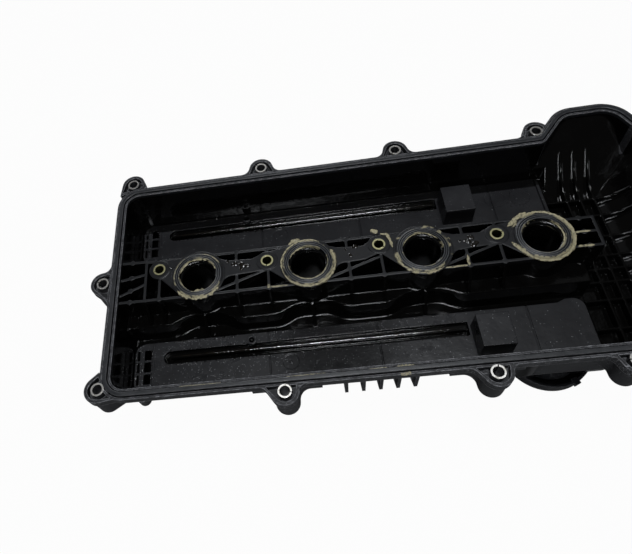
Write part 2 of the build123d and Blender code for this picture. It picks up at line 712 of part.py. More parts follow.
def baffle_outline(end_step):
    """Plan of a baffle plate.  The near one steps out beside the valley end."""
    left, right = BAFFLE_X
    near, far = BAFFLE_Y
    corners = [(left, near, 9.5), (right, near, 3.0)]
    if end_step:
        corners += [(right, far + 2.6, 8.0), (281.0, far + 2.6, 6.0), (275.0, far, 6.0)]
    else:
        corners += [(right, far, 2.0)]
    corners.append((left, far, 9.5))
    return rounded_face(corners)


def ladder_windows():
    """Drain windows at the left end of a plate, between rungs."""
    cut = None
    first = BAFFLE_Y[1] - 5.0
    for low, high in LADDER_COLUMNS:
        for row in range(3):
            top = first - row * RUNG_PITCH - RUNG / 2
            window = Pos((low + high) / 2, top - (RUNG_PITCH - RUNG) / 2) * Rectangle(
                high - low, RUNG_PITCH - RUNG)
            block = slab(window, BAFFLE_TOP_Z + 1.0, SEAT_Z - 1.0)
            cut = block if cut is None else cut + block
    return cut


def baffle_plate(end_step):
    """Oil baffle: plate, drain box, trough, drain tube and ladder, drawn for the near chamber."""
    plate = slab(baffle_outline(end_step), BAFFLE_TOP_Z, SEAT_Z)
    size = (BOX_X[1] - BOX_X[0], BOX_Y[1] - BOX_Y[0])
    centre = (sum(BOX_X) / 2, sum(BOX_Y) / 2)
    box = Pos(*centre, SEAT_Z) * extrude(
        RectangleRounded(size[0] + 1.0, size[1] + 1.0, 1.0), amount=BOX_TOP_Z - SEAT_Z, taper=1.3)
    core = Pos(*centre) * Rectangle(size[0] - 2 * BOX_WALL, size[1] - 2 * BOX_WALL)
    plate += slab(stadium(TROUGH_WALL), BAFFLE_TOP_Z - 0.4, TROUGH_Z - TROUGH_WALL)
    plate += post(*DRAIN_TUBE, DRAIN_TUBE_R, DRAIN_TOP_Z, SEAT_Z)
    shelf = Pos(sum(TROUGH_X) / 2, (TROUGH_Y[1] + SHELF_Y) / 2) * Rectangle(
        TROUGH_X[1] - TROUGH_X[0] + 2.0, TROUGH_Y[1] - SHELF_Y)
    hollow = slab(stadium(0.0), BAFFLE_TOP_Z + 1.0, TROUGH_Z)
    plate -= hollow - slab(shelf, SHELF_Z, TROUGH_Z - 1.0)
    plate += box
    plate -= slab(core, BOX_TOP_Z - BOX_WALL, TROUGH_Z - 3.0)
    plate += slab(Pos(-46.6, sum(BAFFLE_Y) / 2) * Rectangle(1.6, 40.0), BAFFLE_TOP_Z + 0.6, SEAT_Z)
    plate -= ladder_windows()
    for x in SEAM_X:
        seam = Pos(x, sum(BAFFLE_Y) / 2) * Rectangle(SEAM_WIDTH, 50.0)
        plate -= slab(seam, BAFFLE_TOP_Z + 0.1, BAFFLE_TOP_Z - SEAM_DEPTH)
    mark = slab(disc(*GATE_MARK, GATE_MARK_R), BAFFLE_TOP_Z + 0.1, BAFFLE_TOP_Z - 0.4)
    plate -= mark - post(*GATE_MARK, 1.1, BAFFLE_TOP_Z + 0.1, BAFFLE_TOP_Z - 1.0)
    plate -= post(*DRAIN_TUBE, DRAIN_BORE_R, DRAIN_TOP_Z + 1.0, SEAT_Z - 1.0)
    slot = Pos(DRAIN_TUBE[0] + 1.0, SHELF_Y + 1.4) * Rectangle(2.0, 6.4)
    plate -= slab(slot, BAFFLE_TOP_Z + 1.0, TROUGH_Z)
    return plate


def far_baffle():
    """The same plate in the far chamber, with a raised strip at its right end."""
    plate = baffle_plate(False)
    right = BAFFLE_X[1]
    plate += slab(Pos(right - 1.2, sum(BAFFLE_Y) / 2) * Rectangle(2.4, 38.0), BAFFLE_TOP_Z + 2.0, SEAT_Z)
    return Pos(0, BAFFLE_STEP, 0) * plate


def oil_filler_cap():
    """Quarter-turn filler cap with its skirt, plug, two lugs and grip bar."""
    face = CAP_TOP_Z + 2.8
    profile = make_face(Polyline(
        (0, CAP_TOP_Z), (CAP_R - 1.5, CAP_TOP_Z), (CAP_R, CAP_TOP_Z + 1.5), (CAP_R, CAP_SKIRT_Z),
        (CAP_R - 2.2, CAP_SKIRT_Z), (CAP_R - 2.2, face), (CAP_PLUG_R, face),
        (CAP_PLUG_R, ROOF_Z - WALL - 0.5), (LEDGE_BORE_R - 0.4, ROOF_Z - WALL - 0.5),
        (LEDGE_BORE_R - 0.4, ROOF_Z + 3.4), (LEDGE_BORE_R - 2.9, ROOF_Z + 3.4),
        (LEDGE_BORE_R - 2.9, face), (0, face), close=True))
    cap = revolve(Plane.XZ * profile, Axis.Z, 360)
    lugs = Rectangle(11.0, 2 * LUG_R + 1.0) & Circle(LUG_R)
    lugs -= Circle(LEDGE_BORE_R - 1.4)
    cap += slab(lugs, ROOF_Z + 3.4, ROOF_Z + 0.3)
    grip = slab(RectangleRounded(9.0, 46.0, 4.4), CAP_TOP_Z + 0.5, CAP_TOP_Z - GRIP_HEIGHT)
    tab = Rot(0, 0, CAP_TAB_HEADING) * Pos(CAP_R - 1.0, 0) * Rectangle(5.6, 5.0)
    cap += slab(tab, CAP_SKIRT_Z, CAP_SKIRT_Z - 3.0)
    return Pos(*FILLER, 0) * (cap + grip)


def filler_cap_seal():
    """Flat rubber ring between the cap and the neck."""
    x, y = FILLER
    top = FILLER_NECK_Z - SLEEVE_FIT
    ring = post(x, y, FILLER_NECK_R - 0.4, top, CAP_TOP_Z + 2.8)
    return ring - post(x, y, CAP_PLUG_R + 0.3, top + 1.0, CAP_TOP_Z)


def coil_inserts():
    """Brass thread inserts for the coil bolts."""
    made = []
    for x in WELL_X:
        place = (x + COIL_BOLT[0], COIL_BOLT[1])
        low = TOWER_Z + 4.0
        tube = post(*place, INSERT_R, low + INSERT_LENGTH, low)
        made.append(tube - post(*place, INSERT_BORE_R, low + INSERT_LENGTH + 1.0, low - 1.0))
    return Compound(children=made)


def valve_cap():
    """Welded lid of the pressure valve."""
    x, y = BREATHER
    lid = Pos(x, y, BREATHER_Z) * extrude(Circle(BREATHER_R), amount=-5.0, taper=12)
    return lid


def valve_diaphragm():
    """Rubber diaphragm of the pressure valve."""
    x, y = BREATHER
    return post(x, y, VALVE_R - 0.2, BREATHER_Z + 1.4, BREATHER_Z)


def export(name, shape):
    """Write one named node."""
    shape.label = name
    export_step(shape, "parts/" + name + ".step")


def build():
    """All nodes by name, drawn from plug well 1 on the sealing plane."""
    nodes = {
        "cover_shell": cover_shell(),
        "perimeter_gasket": perimeter_gasket(),
        "flange_sleeves": flange_sleeves(),
        "centre_sleeves": centre_sleeves(),
        "near_baffle": baffle_plate(True),
        "far_baffle": far_baffle(),
        "oil_filler_cap": oil_filler_cap(),
        "filler_cap_seal": filler_cap_seal(),
        "coil_inserts": coil_inserts(),
        "valve_cap": valve_cap(),
        "valve_diaphragm": valve_diaphragm(),
    }
    for number, x in enumerate(WELL_X):
        nodes["plug_seal_" + str(number + 1)] = plug_seal(x)
    return nodes


os.makedirs("parts", exist_ok=True)
pieces = build()
boxes = [piece.bounding_box() for piece in pieces.values()]
low = [min(getattr(box.min, axis) for box in boxes) for axis in "XYZ"]
high = [max(getattr(box.max, axis) for box in boxes) for axis in "XYZ"]
shift = (-(low[0] + high[0]) / 2, -(low[1] + high[1]) / 2, -low[2])
origin = Pos(*shift)
print("moved by", shift, "low", low, "high", high)
for name, piece in pieces.items():
    export(name, origin * piece)
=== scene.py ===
"""Looks of an engine valve cover that lies on its outside, open side up.

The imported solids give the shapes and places. This file gives each moulding, rubber, sleeve and
plate its finish, and adds what is too fine for the solids: sealant smears, oil drops, dust and
mould marks. Drawn places are in millimetres from plug well 1 on the sealing plane.
"""

import logging
import math
import random
from dataclasses import dataclass
from enum import Enum

import bmesh
import bpy
from mathutils import Matrix, Vector, noise


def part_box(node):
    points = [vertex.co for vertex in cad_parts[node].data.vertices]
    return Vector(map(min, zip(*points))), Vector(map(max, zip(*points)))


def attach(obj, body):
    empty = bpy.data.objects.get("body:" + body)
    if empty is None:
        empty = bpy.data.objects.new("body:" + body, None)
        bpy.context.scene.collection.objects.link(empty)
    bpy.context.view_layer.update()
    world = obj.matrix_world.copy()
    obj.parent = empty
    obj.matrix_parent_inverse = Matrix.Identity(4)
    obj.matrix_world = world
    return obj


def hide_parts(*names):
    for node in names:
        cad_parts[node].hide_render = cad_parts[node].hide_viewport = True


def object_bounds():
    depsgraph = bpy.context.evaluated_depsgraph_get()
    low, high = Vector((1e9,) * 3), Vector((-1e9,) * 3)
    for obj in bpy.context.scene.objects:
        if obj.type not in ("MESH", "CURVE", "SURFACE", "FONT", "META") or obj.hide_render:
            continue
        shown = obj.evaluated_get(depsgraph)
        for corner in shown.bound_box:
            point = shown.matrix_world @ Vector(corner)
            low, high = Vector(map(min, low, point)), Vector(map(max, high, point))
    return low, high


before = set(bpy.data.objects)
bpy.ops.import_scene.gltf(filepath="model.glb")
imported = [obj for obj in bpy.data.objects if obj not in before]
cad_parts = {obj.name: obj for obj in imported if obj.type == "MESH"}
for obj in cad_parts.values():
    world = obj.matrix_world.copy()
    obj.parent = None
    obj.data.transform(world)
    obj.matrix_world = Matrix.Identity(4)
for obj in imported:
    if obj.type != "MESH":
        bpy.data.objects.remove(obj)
CAD_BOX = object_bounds()

log = logging.getLogger("valve_cover")

MM = 0.001
OWN_NORMAL = "own_normal"   # corner layer that carries the solids' surface normals
Place = tuple[float, float, float]
Spot = tuple[float, float]
Colour = tuple[float, float, float]

# Drawn places and sizes, in millimetres.
SLEEVE_PROUD = 0.3              # the rim sleeves stand this far above the sealing plane
INNER_WALLS = ((-66.2, -91.8), (382.6, 89.2))   # corners of the inside in plan
HUMP_WALLS = ((294.0, 80.0), (360.0, 115.0))    # corners of the chain hump in plan
OIL_LINE = (-2.6, -0.6)         # the oil on the walls ends between these heights
INNER_FLOOR_Z = -62.6           # lowest oiled face
RIB_TOP_Z = -3.3                # rib tops and the wells' flange lie above this height
PLATE_Z = -44.0                 # top of the baffle plates
POOL_Z = -44.8                  # oil stands below this height in the plates
PLATE_STEP = 121.5              # from the near baffle plate to the far one
RIDGE_R = 15.7                  # innermost ridge of a well seal
RIDGE_STEP = 1.5                # from one ridge to the next
INSERT_TOP = -60.0              # top of the brass inserts; painted shade darkens them below it


class Body(Enum):
    """Bodies that pieces ride on."""

    COVER = "cover"
    CAP = "filler_cap"


class Slot(Enum):
    """Material slots."""

    MOULDING = "moulding"
    BAFFLE = "baffle"
    GASKET = "gasket_rubber"
    STEEL = "steel"
    ZINC = "zinc"
    BRASS = "brass"
    CAP = "cap"
    SEAL = "seal_rubber"


# ---- where things are --------------------------------------------------------------------------

def seal_centre(number: int) -> Vector:
    """Middle of one plug seal in the row's frame, in metres."""
    low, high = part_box(f"plug_seal_{number}")
    return (Vector(low) + Vector(high)) / 2


@dataclass(frozen=True)
class Datum:
    """Plug well 1 on the sealing plane: the point that every plan size is taken from."""

    x: float
    y: float
    z: float

    def at(self, x: float, y: float, z: float) -> Vector:
        """A drawn point in millimetres as a point of the row's frame in metres."""
        return Vector((self.x + x * MM, self.y + y * MM, self.z + z * MM))


def find_datum() -> Datum:
    """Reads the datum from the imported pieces.

    Returns:
        The datum of this cover.
    """
    well = seal_centre(1)
    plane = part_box("flange_sleeves")[1][2] - SLEEVE_PROUD * MM
    return Datum(well.x, well.y, plane)


DATUM = find_datum()


def well_sleeve_top() -> float:
    """Height of the yellow sleeves' top face, in millimetres from the sealing plane."""
    return (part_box("centre_sleeves")[1][2] - DATUM.z) / MM


PITCH = (seal_centre(4).x - seal_centre(1).x) / 3 / MM
WELL_X = [number * PITCH for number in range(4)]
WELL_1, WELL_2, WELL_3, WELL_4 = [(x, 0.0) for x in WELL_X]


# ---- node trees --------------------------------------------------------------------------------

class NodeSheet:
    """Lays out one node tree and wires it."""

    def __init__(self, tree: bpy.types.NodeTree) -> None:
        """Starts on an empty tree.

        Args:
            tree: The tree to fill.
        """
        self.tree = tree
        tree.nodes.clear()

    def add(self, kind: str, settings: dict | None = None, **values: object) -> bpy.types.Node:
        """Adds a node.

        Args:
            kind: The node's type name.
            settings: Properties of the node itself.
            values: Socket values or output sockets to wire in, by socket name with _ for a space.

        Returns:
            The new node.
        """
        node = self.tree.nodes.new(kind)
        for key, value in (settings or {}).items():
            setattr(node, key, value)
        for key, value in values.items():
            self.feed(node, key.replace("_", " "), value)
        return node

    def feed(self, node: bpy.types.Node, socket: str | int, value: object) -> None:
        """Sets an input socket, or wires an output socket to it.

        Args:
            node: The node to feed.
            socket: Its input, by name or number.
            value: A plain value, or an output socket.
        """
        target = node.inputs[socket]
        if isinstance(value, bpy.types.NodeSocket):
            self.tree.links.new(value, target)
        else:
            target.default_value = value

    def math(self, operation: str, first: object, second: object = 0.0,
             clamp: bool = False) -> bpy.types.NodeSocket:
        """Adds a Math node and returns its output.

        Args:
            operation: The Math node's operation.
            first: First value or socket.
            second: Second value or socket.
            clamp: Whether the result is held between 0 and 1.

        Returns:
            The result socket.
        """
        node = self.add("ShaderNodeMath", {"operation": operation, "use_clamp": clamp})
        self.feed(node, 0, first)
        self.feed(node, 1, second)
        return node.outputs[0]

    def plus(self, first: object, second: object) -> bpy.types.NodeSocket:
        """Sum of two values."""
        return self.math("ADD", first, second)

    def minus(self, first: object, second: object) -> bpy.types.NodeSocket:
        """Difference of two values."""
        return self.math("SUBTRACT", first, second)

    def times(self, first: object, second: object, clamp: bool = False) -> bpy.types.NodeSocket:
        """Product of two values, held between 0 and 1 on demand."""
        return self.math("MULTIPLY", first, second, clamp)

    def gap(self, first: object, second: object) -> bpy.types.NodeSocket:
        """Distance between two values."""
        return self.math("ABSOLUTE", self.minus(first, second))

    def ramp(self, value: object, low: float, high: float, bottom: float = 0.0,
             top: float = 1.0) -> bpy.types.NodeSocket:
        """Smooth step of a value between two limits.

        Args:
            value: The value or socket to map.
            low: Where the step starts.
            high: Where the step ends.
            bottom: Result below the step.
            top: Result above the step.

        Returns:
            The result socket.
        """
        node = self.add("ShaderNodeMapRange", {"interpolation_type": "SMOOTHSTEP"},
                        Value=value, From_Min=low, From_Max=high, To_Min=bottom, To_Max=top)
        return node.outputs["Result"]

    def noise(self, vector: object, scale: float, detail: float = 3.0,
              roughness: float = 0.55) -> bpy.types.NodeSocket:
        """Noise value at a place.

        Args:
            vector: Where to read it.
            scale: Features per metre.
            detail: Octaves.
            roughness: Share of the finer octaves.

        Returns:
            The noise value.
        """
        node = self.add("ShaderNodeTexNoise", Vector=vector, Scale=scale, Detail=detail,
                        Roughness=roughness)
        return node.outputs["Fac"]

    def mix(self, share: object, first: object, second: object) -> bpy.types.NodeSocket:
        """Mixes two colours.

        Args:
            share: How much of the second one.
            first: Colour or socket at 0.
            second: Colour or socket at 1.

        Returns:
            The mixed colour.
        """
        node = self.add("ShaderNodeMix", {"data_type": "RGBA"})
        self.feed(node, 0, share)
        self.feed(node, 6, opaque(first))
        self.feed(node, 7, opaque(second))
        return node.outputs[2]

    def blend(self, share: object, first: object, second: object) -> bpy.types.NodeSocket:
        """Mixes two numbers.

        Args:
            share: How much of the second one.
            first: Value or socket at 0.
            second: Value or socket at 1.

        Returns:
            The mixed value.
        """
        node = self.add("ShaderNodeMix", {"data_type": "FLOAT"})
        self.feed(node, 0, share)
        self.feed(node, 2, first)
        self.feed(node, 3, second)
        return node.outputs[0]

    def stretched(self, vector: object, scale: Place) -> bpy.types.NodeSocket:
        """Coordinates scaled by axis, for streaks.

        Args:
            vector: The coordinates.
            scale: Factor along each axis.

        Returns:
            The scaled coordinates.
        """
        node = self.add("ShaderNodeMapping", Vector=vector, Scale=scale)
        return node.outputs[0]

    def rounded(self, radius: float, samples: int = 6) -> bpy.types.NodeSocket:
        """Normal of the piece with its edges rounded.

        Args:
            radius: The edges' radius in millimetres.
            samples: Samples of the Bevel node.

        Returns:
            The normal.
        """
        return self.add("ShaderNodeBevel", {"samples": samples}, Radius=radius * MM).outputs[0]

    def bump(self, height: object, strength: float, distance: float,
             normal: bpy.types.NodeSocket | None = None) -> bpy.types.NodeSocket:
        """Raises a surface by a height.

        Args:
            height: The height.
            strength: Share of the bump.
            distance: What a height of 1 stands for, in millimetres.
            normal: The normal to start from; without one, the surface's own.

        Returns:
            The raised normal.
        """
        node = self.add("ShaderNodeBump", Strength=strength, Distance=distance * MM, Height=height)
        if normal is not None:
            self.feed(node, "Normal", normal)
        return node.outputs[0]

    def group(self, group: bpy.types.NodeTree, **values: object) -> bpy.types.Node:
        """Places a shared effect.

        Args:
            group: The effect's node group.
            values: Its inputs, by name.

        Returns:
            The group node.
        """
        node = self.tree.nodes.new("ShaderNodeGroup")
        node.node_tree = group
        for key, value in values.items():
            self.feed(node, key.replace("_", " "), value)
        return node


def opaque(colour: object) -> object:
    """A plain colour with its alpha, or a socket unchanged."""
    return (*colour, 1.0) if isinstance(colour, tuple) else colour


class GroupSheet(NodeSheet):
    """Node sheet of a shader node group, with its inputs and outputs."""

    def __init__(self, name: str, inputs: dict[str, object], outputs: list[str]) -> None:
        """Starts the group.

        Args:
            name: The group's name.
            inputs: Input names with their default values; a tuple makes a vector socket.
            outputs: Names of the value outputs.
        """
        tree = bpy.data.node_groups.new(name, "ShaderNodeTree")
        for key, value in inputs.items():
            kind = "NodeSocketVector" if isinstance(value, tuple) else "NodeSocketFloat"
            socket = tree.interface.new_socket(name=key, in_out="INPUT", socket_type=kind)
            if kind == "NodeSocketFloat":
                socket.default_value = value
        for key in outputs:
            tree.interface.new_socket(name=key, in_out="OUTPUT", socket_type="NodeSocketFloat")
        super().__init__(tree)
        self.given = self.add("NodeGroupInput").outputs
        self.sink = self.add("NodeGroupOutput")

    def give(self, **values: object) -> None:
        """Puts values out, by name."""
        for key, value in values.items():
            self.feed(self.sink, key, value)


class MaterialSheet(NodeSheet):
    """Node sheet of a material, with its shader and its Object coordinates."""

    def __init__(self, material: bpy.types.Material) -> None:
        """Starts the material's nodes.

        Args:
            material: The material.
        """
        material.use_nodes = True
        super().__init__(material.node_tree)
        self.shader = self.add("ShaderNodeBsdfPrincipled")
        output = self.add("ShaderNodeOutputMaterial")
        self.feed(output, "Surface", self.shader.outputs["BSDF"])
        self.place = self.add("ShaderNodeTexCoord").outputs["Object"]

    def patchy(self, scale: float, low: float, high: float, detail: float = 3.0
               ) -> bpy.types.NodeSocket:
        """Value that varies in slow patches.

        Args:
            scale: Patches in a metre.
            low: The lowest value.
            high: The highest value.
            detail: Octaves.

        Returns:
            The value.
        """
        return self.ramp(self.noise(self.place, scale, detail), 0.3, 0.7, low, high)

    def show(self, **values: object) -> None:
        """Feeds the shader, by socket name with _ for a space."""
        for key, value in values.items():
            self.feed(self.shader, key.replace("_", " "), value)


# ---- shared effects ----------------------------------------------------------------------------

NO_PLACE = (0, 0, 0)            # default of a vector input, which is always wired


@dataclass(frozen=True)
class InsideMask:
    """Mask that is 1 inside the cover's walls, where oil has reached."""

    walls: tuple[tuple[Spot, Spot], ...] = (INNER_WALLS, HUMP_WALLS)

    def build(self) -> bpy.types.NodeTree:
        """Makes the effect.

        Returns:
            Its node group.
        """
        sheet = GroupSheet("inside_cover", {"Vector": NO_PLACE}, ["Mask"])
        axes = sheet.add("ShaderNodeSeparateXYZ", Vector=sheet.given["Vector"])
        masks = []
        for corners in self.walls:
            start, end = [DATUM.at(*corner, 0) for corner in corners]
            parts = []
            for axis, name in enumerate("XY"):
                middle = (start[axis] + end[axis]) / 2
                half = (end[axis] - start[axis]) / 2
                away = sheet.gap(axes.outputs[name], middle)
                parts.append(sheet.math("LESS_THAN", away, half))
            masks.append(sheet.times(*parts))
        both = sheet.math("MAXIMUM", *masks)
        full, none = [DATUM.z + height * MM for height in OIL_LINE]
        below = sheet.ramp(axes.outputs["Z"], full, none, 1.0, 0.0)
        above = sheet.math("GREATER_THAN", axes.outputs["Z"], DATUM.z + INNER_FLOOR_Z * MM)
        sheet.give(Mask=sheet.times(sheet.times(both, below), above))
        return sheet.tree


@dataclass(frozen=True)
class OilFilm:
    """Oil film: patches of full wetness, and the ripple of their surface."""

    patch_edge: Spot = (-0.12, 0.06)        # how far a patch takes to end
    run_stretch: Place = (1.0, 1.0, 0.3)    # ripples are drawn out down the walls
    fine_scale: float = 9.0                 # against the patches' own scale
    slow_scale: float = 2.5
    fine_share: float = 0.35

    def build(self) -> bpy.types.NodeTree:
        """Makes the effect.

        Returns:
            Its node group.
        """
        sheet = GroupSheet("oil_film", {"Vector": NO_PLACE, "Cover": 0.5, "Scale": 60.0},
                           ["Mask", "Ripple"])
        vector, scale = sheet.given["Vector"], sheet.given["Scale"]
        broad = sheet.noise(vector, scale, 4.0, 0.6)
        level = sheet.minus(1.0, sheet.given["Cover"])
        run = sheet.stretched(vector, self.run_stretch)
        fine = sheet.noise(run, sheet.times(scale, self.fine_scale), 3.0, 0.5)
        slow = sheet.noise(run, sheet.times(scale, self.slow_scale), 2.0, 0.5)
        sheet.give(Mask=sheet.ramp(sheet.minus(broad, level), *self.patch_edge),
                   Ripple=sheet.plus(sheet.times(fine, self.fine_share), slow))
        return sheet.tree


@dataclass(frozen=True)
class DustSpecks:
    """Settled dust: small pale specks, thick in some places and thin in others."""

    least_size: float = 0.08            # as a share of a speck's cell
    more_size: float = 0.11
    bloom_scale: float = 45.0           # thick and thin places in a metre
    bloom_edge: Spot = (0.38, 0.68)
    thin_share: float = 0.7             # specks in the thinnest places

    def build(self) -> bpy.types.NodeTree:
        """Makes the effect.

        Returns:
            Its node group.
        """
        sheet = GroupSheet("dust_specks", {"Vector": NO_PLACE, "Scale": 700.0, "Share": 0.3},
                           ["Mask", "Bloom"])
        vector = sheet.given["Vector"]
        cells = sheet.add("ShaderNodeTexVoronoi", {"feature": "F1"},
                          Vector=vector, Scale=sheet.given["Scale"])
        draws = sheet.add("ShaderNodeSeparateColor", Color=cells.outputs["Color"]).outputs
        size = sheet.plus(sheet.times(draws[0], self.more_size), self.least_size)
        dot = sheet.math("LESS_THAN", cells.outputs["Distance"], size)
        bloom = sheet.ramp(sheet.noise(vector, self.bloom_scale), *self.bloom_edge)
        chance = sheet.times(sheet.given["Share"], sheet.plus(bloom, self.thin_share))
        chosen = sheet.math("LESS_THAN", draws[1], chance)
        sheet.give(Mask=sheet.times(dot, chosen), Bloom=bloom)
        return sheet.tree


@dataclass(frozen=True)
class ScuffsAndGlints:
    """Handling scuff marks: pale smears broken into fine scratches, with painted glints on the
    moulded grain.
    """

    smear_edge: Spot = (0.42, 0.66)
    scratch_stretch: Place = (1.0, 14.0, 14.0)  # scratches run along the cover
    scratch_scale: float = 3.0                  # against the smears' own scale
    scratch_edge: Spot = (0.60, 0.72)
    # The grain specks are painted glints of the moulded grain.
    grain_scale: float = 950.0
    glint_edge: Spot = (0.57, 0.70)
    glint_share: float = 0.7
    least_share: float = 0.12                   # scuff marks and painted glints outside the smears

    def build(self) -> bpy.types.NodeTree:
        """Makes the effect.

        Returns:
            Its node group.
        """
        sheet = GroupSheet("scuffs_and_glints", {"Vector": NO_PLACE, "Scale": 30.0, "Share": 0.5}, ["Mask"])
        vector, scale = sheet.given["Vector"], sheet.given["Scale"]
        smears = sheet.ramp(sheet.noise(vector, scale, 5.0, 0.65), *self.smear_edge)
        along = sheet.stretched(vector, self.scratch_stretch)
        scratches = sheet.noise(along, sheet.times(scale, self.scratch_scale), 2.0, 0.7)
        lines = sheet.ramp(scratches, *self.scratch_edge)
        # Painted glints: pale specks where the moulded grain would catch the light.
        grain = sheet.ramp(sheet.noise(vector, self.grain_scale, 3.0, 0.75), *self.glint_edge)
        marks = sheet.plus(lines, sheet.times(grain, self.glint_share))
        both = sheet.times(sheet.plus(smears, self.least_share), marks, clamp=True)
        sheet.give(Mask=sheet.times(both, sheet.given["Share"]))
        return sheet.tree


@dataclass(frozen=True)
class MouldedGrain:
    """Moulded surface of fibre-filled nylon: fine grain over a slow waviness."""

    fine_scale: float = 2600.0
    slow_scale: float = 210.0
    fine_share: float = 0.5

    def build(self) -> bpy.types.NodeTree:
        """Makes the effect.

        Returns:
            Its node group.
        """
        sheet = GroupSheet("moulded_grain", {"Vector": NO_PLACE}, ["Height"])
        fine = sheet.noise(sheet.given["Vector"], self.fine_scale, 2.0, 0.6)
        slow = sheet.noise(sheet.given["Vector"], self.slow_scale, 3.0, 0.5)
        sheet.give(Height=sheet.plus(sheet.times(fine, self.fine_share), slow))
        return sheet.tree


@dataclass(frozen=True)
class EdgeWearAndHighlight:
    """Mask of rubbed edges and painted edge highlights: where the rounded normal leaves the face's
    own normal.
    """

    turn: Spot = (0.015, 0.16)          # 1 less the cosine between the two
    break_scale: float = 260.0
    break_edge: Spot = (0.35, 0.7)
    least_share: float = 0.2            # wear and painted highlight between the rubbed places

    def build(self) -> bpy.types.NodeTree:
        """Makes the effect.

        Returns:
            Its node group.
        """
        sheet = GroupSheet("edge_wear_and_highlight", {"Vector": NO_PLACE, "Rounded": NO_PLACE, "Share": 0.5},
                           ["Mask"])
        geometry = sheet.add("ShaderNodeNewGeometry")
        dot = sheet.add("ShaderNodeVectorMath", {"operation": "DOT_PRODUCT"})
        sheet.feed(dot, 0, sheet.given["Rounded"])
        sheet.feed(dot, 1, geometry.outputs["Normal"])
        edge = sheet.ramp(sheet.minus(1.0, dot.outputs["Value"]), *self.turn)
        patches = sheet.noise(sheet.given["Vector"], self.break_scale, 4.0, 0.7)
        rubbed = sheet.plus(sheet.ramp(patches, *self.break_edge), self.least_share)
        # Pale edges: partly wear, partly painted highlight.
        wear_and_highlight = sheet.times(edge, rubbed, clamp=True)
        sheet.give(Mask=sheet.times(wear_and_highlight, sheet.given["Share"]))
        return sheet.tree


@dataclass(frozen=True)
class WellRadius:
    """Distance from the axis of the nearest plug well in millimetres, and which it is."""

    last: float = len(WELL_X) - 1.0

    def build(self) -> bpy.types.NodeTree:
        """Makes the effect.

        Returns:
            Its node group.
        """
        sheet = GroupSheet("well_radius", {"Vector": NO_PLACE}, ["Radius", "Number"])
        axes = sheet.add("ShaderNodeSeparateXYZ", Vector=sheet.given["Vector"])
        along = sheet.math("DIVIDE", sheet.minus(axes.outputs["X"], DATUM.x), PITCH * MM)
        number = sheet.math("MAXIMUM", sheet.math("ROUND", along), 0.0)
        nearest = sheet.math("MINIMUM", number, self.last)
        side = sheet.times(sheet.minus(along, nearest), PITCH)
        depth = sheet.math("DIVIDE", sheet.minus(axes.outputs["Y"], DATUM.y), MM)
        squares = [sheet.times(value, value) for value in (side, depth)]
        sheet.give(Radius=sheet.math("SQRT", sheet.plus(*squares)), Number=nearest)
        return sheet.tree


@dataclass(frozen=True)
class SealantResidue:
    """Torn band of old sealant round a radius, broken into patches."""

    tear_scale: float = 420.0
    tear_depth: float = 3.4             # how far the band's sides wander, in millimetres
    side_edge: Spot = (-0.12, 0.12)
    patch_scale: float = 75.0
    patch_edge: Spot = (-0.03, 0.03)

    def build(self) -> bpy.types.NodeTree:
        """Makes the effect.

        Returns:
            Its node group.
        """
        sheet = GroupSheet(
            "sealant_residue",
            {"Vector": NO_PLACE, "Radius": 20.0, "Middle": 21.0, "Half": 1.2, "Share": 0.6},
            ["Mask"])
        vector = sheet.given["Vector"]
        torn = sheet.minus(sheet.noise(vector, self.tear_scale, 4.0, 0.65), 0.5)
        radius = sheet.plus(sheet.given["Radius"], sheet.times(torn, self.tear_depth))
        away = sheet.gap(radius, sheet.given["Middle"])
        inside = sheet.ramp(sheet.minus(sheet.given["Half"], away), *self.side_edge)
        level = sheet.minus(1.0, sheet.given["Share"])
        patch = sheet.minus(sheet.noise(vector, self.patch_scale, 3.0, 0.6), level)
        sheet.give(Mask=sheet.times(inside, sheet.ramp(patch, *self.patch_edge)))
        return sheet.tree


class Effects:
    """Node groups that several finishes share, each built once."""

    def __init__(self) -> None:
        """Builds every group."""
        self.inside = InsideMask().build()
        self.oil = OilFilm().build()
        self.specks = DustSpecks().build()
        self.scuffs_and_glints = ScuffsAndGlints().build()
        self.grain = MouldedGrain().build()
        self.edge = EdgeWearAndHighlight().build()
        self.well = WellRadius().build()
        self.residue = SealantResidue().build()


EFFECTS = Effects()


# ---- finishes ----------------------------------------------------------------------------------

SEALANT_COLOUR = (0.255, 0.228, 0.140)
OIL_BLACK = (0.0018, 0.0017, 0.0016)


@dataclass(frozen=True)
class Finish:
    """A finish by name; each kind wires its own nodes."""

    name: str

    def material(self) -> bpy.types.Material:
        """Makes the material.

        Returns:
            The material, wired.
        """
        material = bpy.data.materials.new(self.name)
        self.paint(MaterialSheet(material))
        return material

    def paint(self, sheet: MaterialSheet) -> None:
        """Wires the look.

        Args:
            sheet: The material's nodes.
        """
        raise NotImplementedError


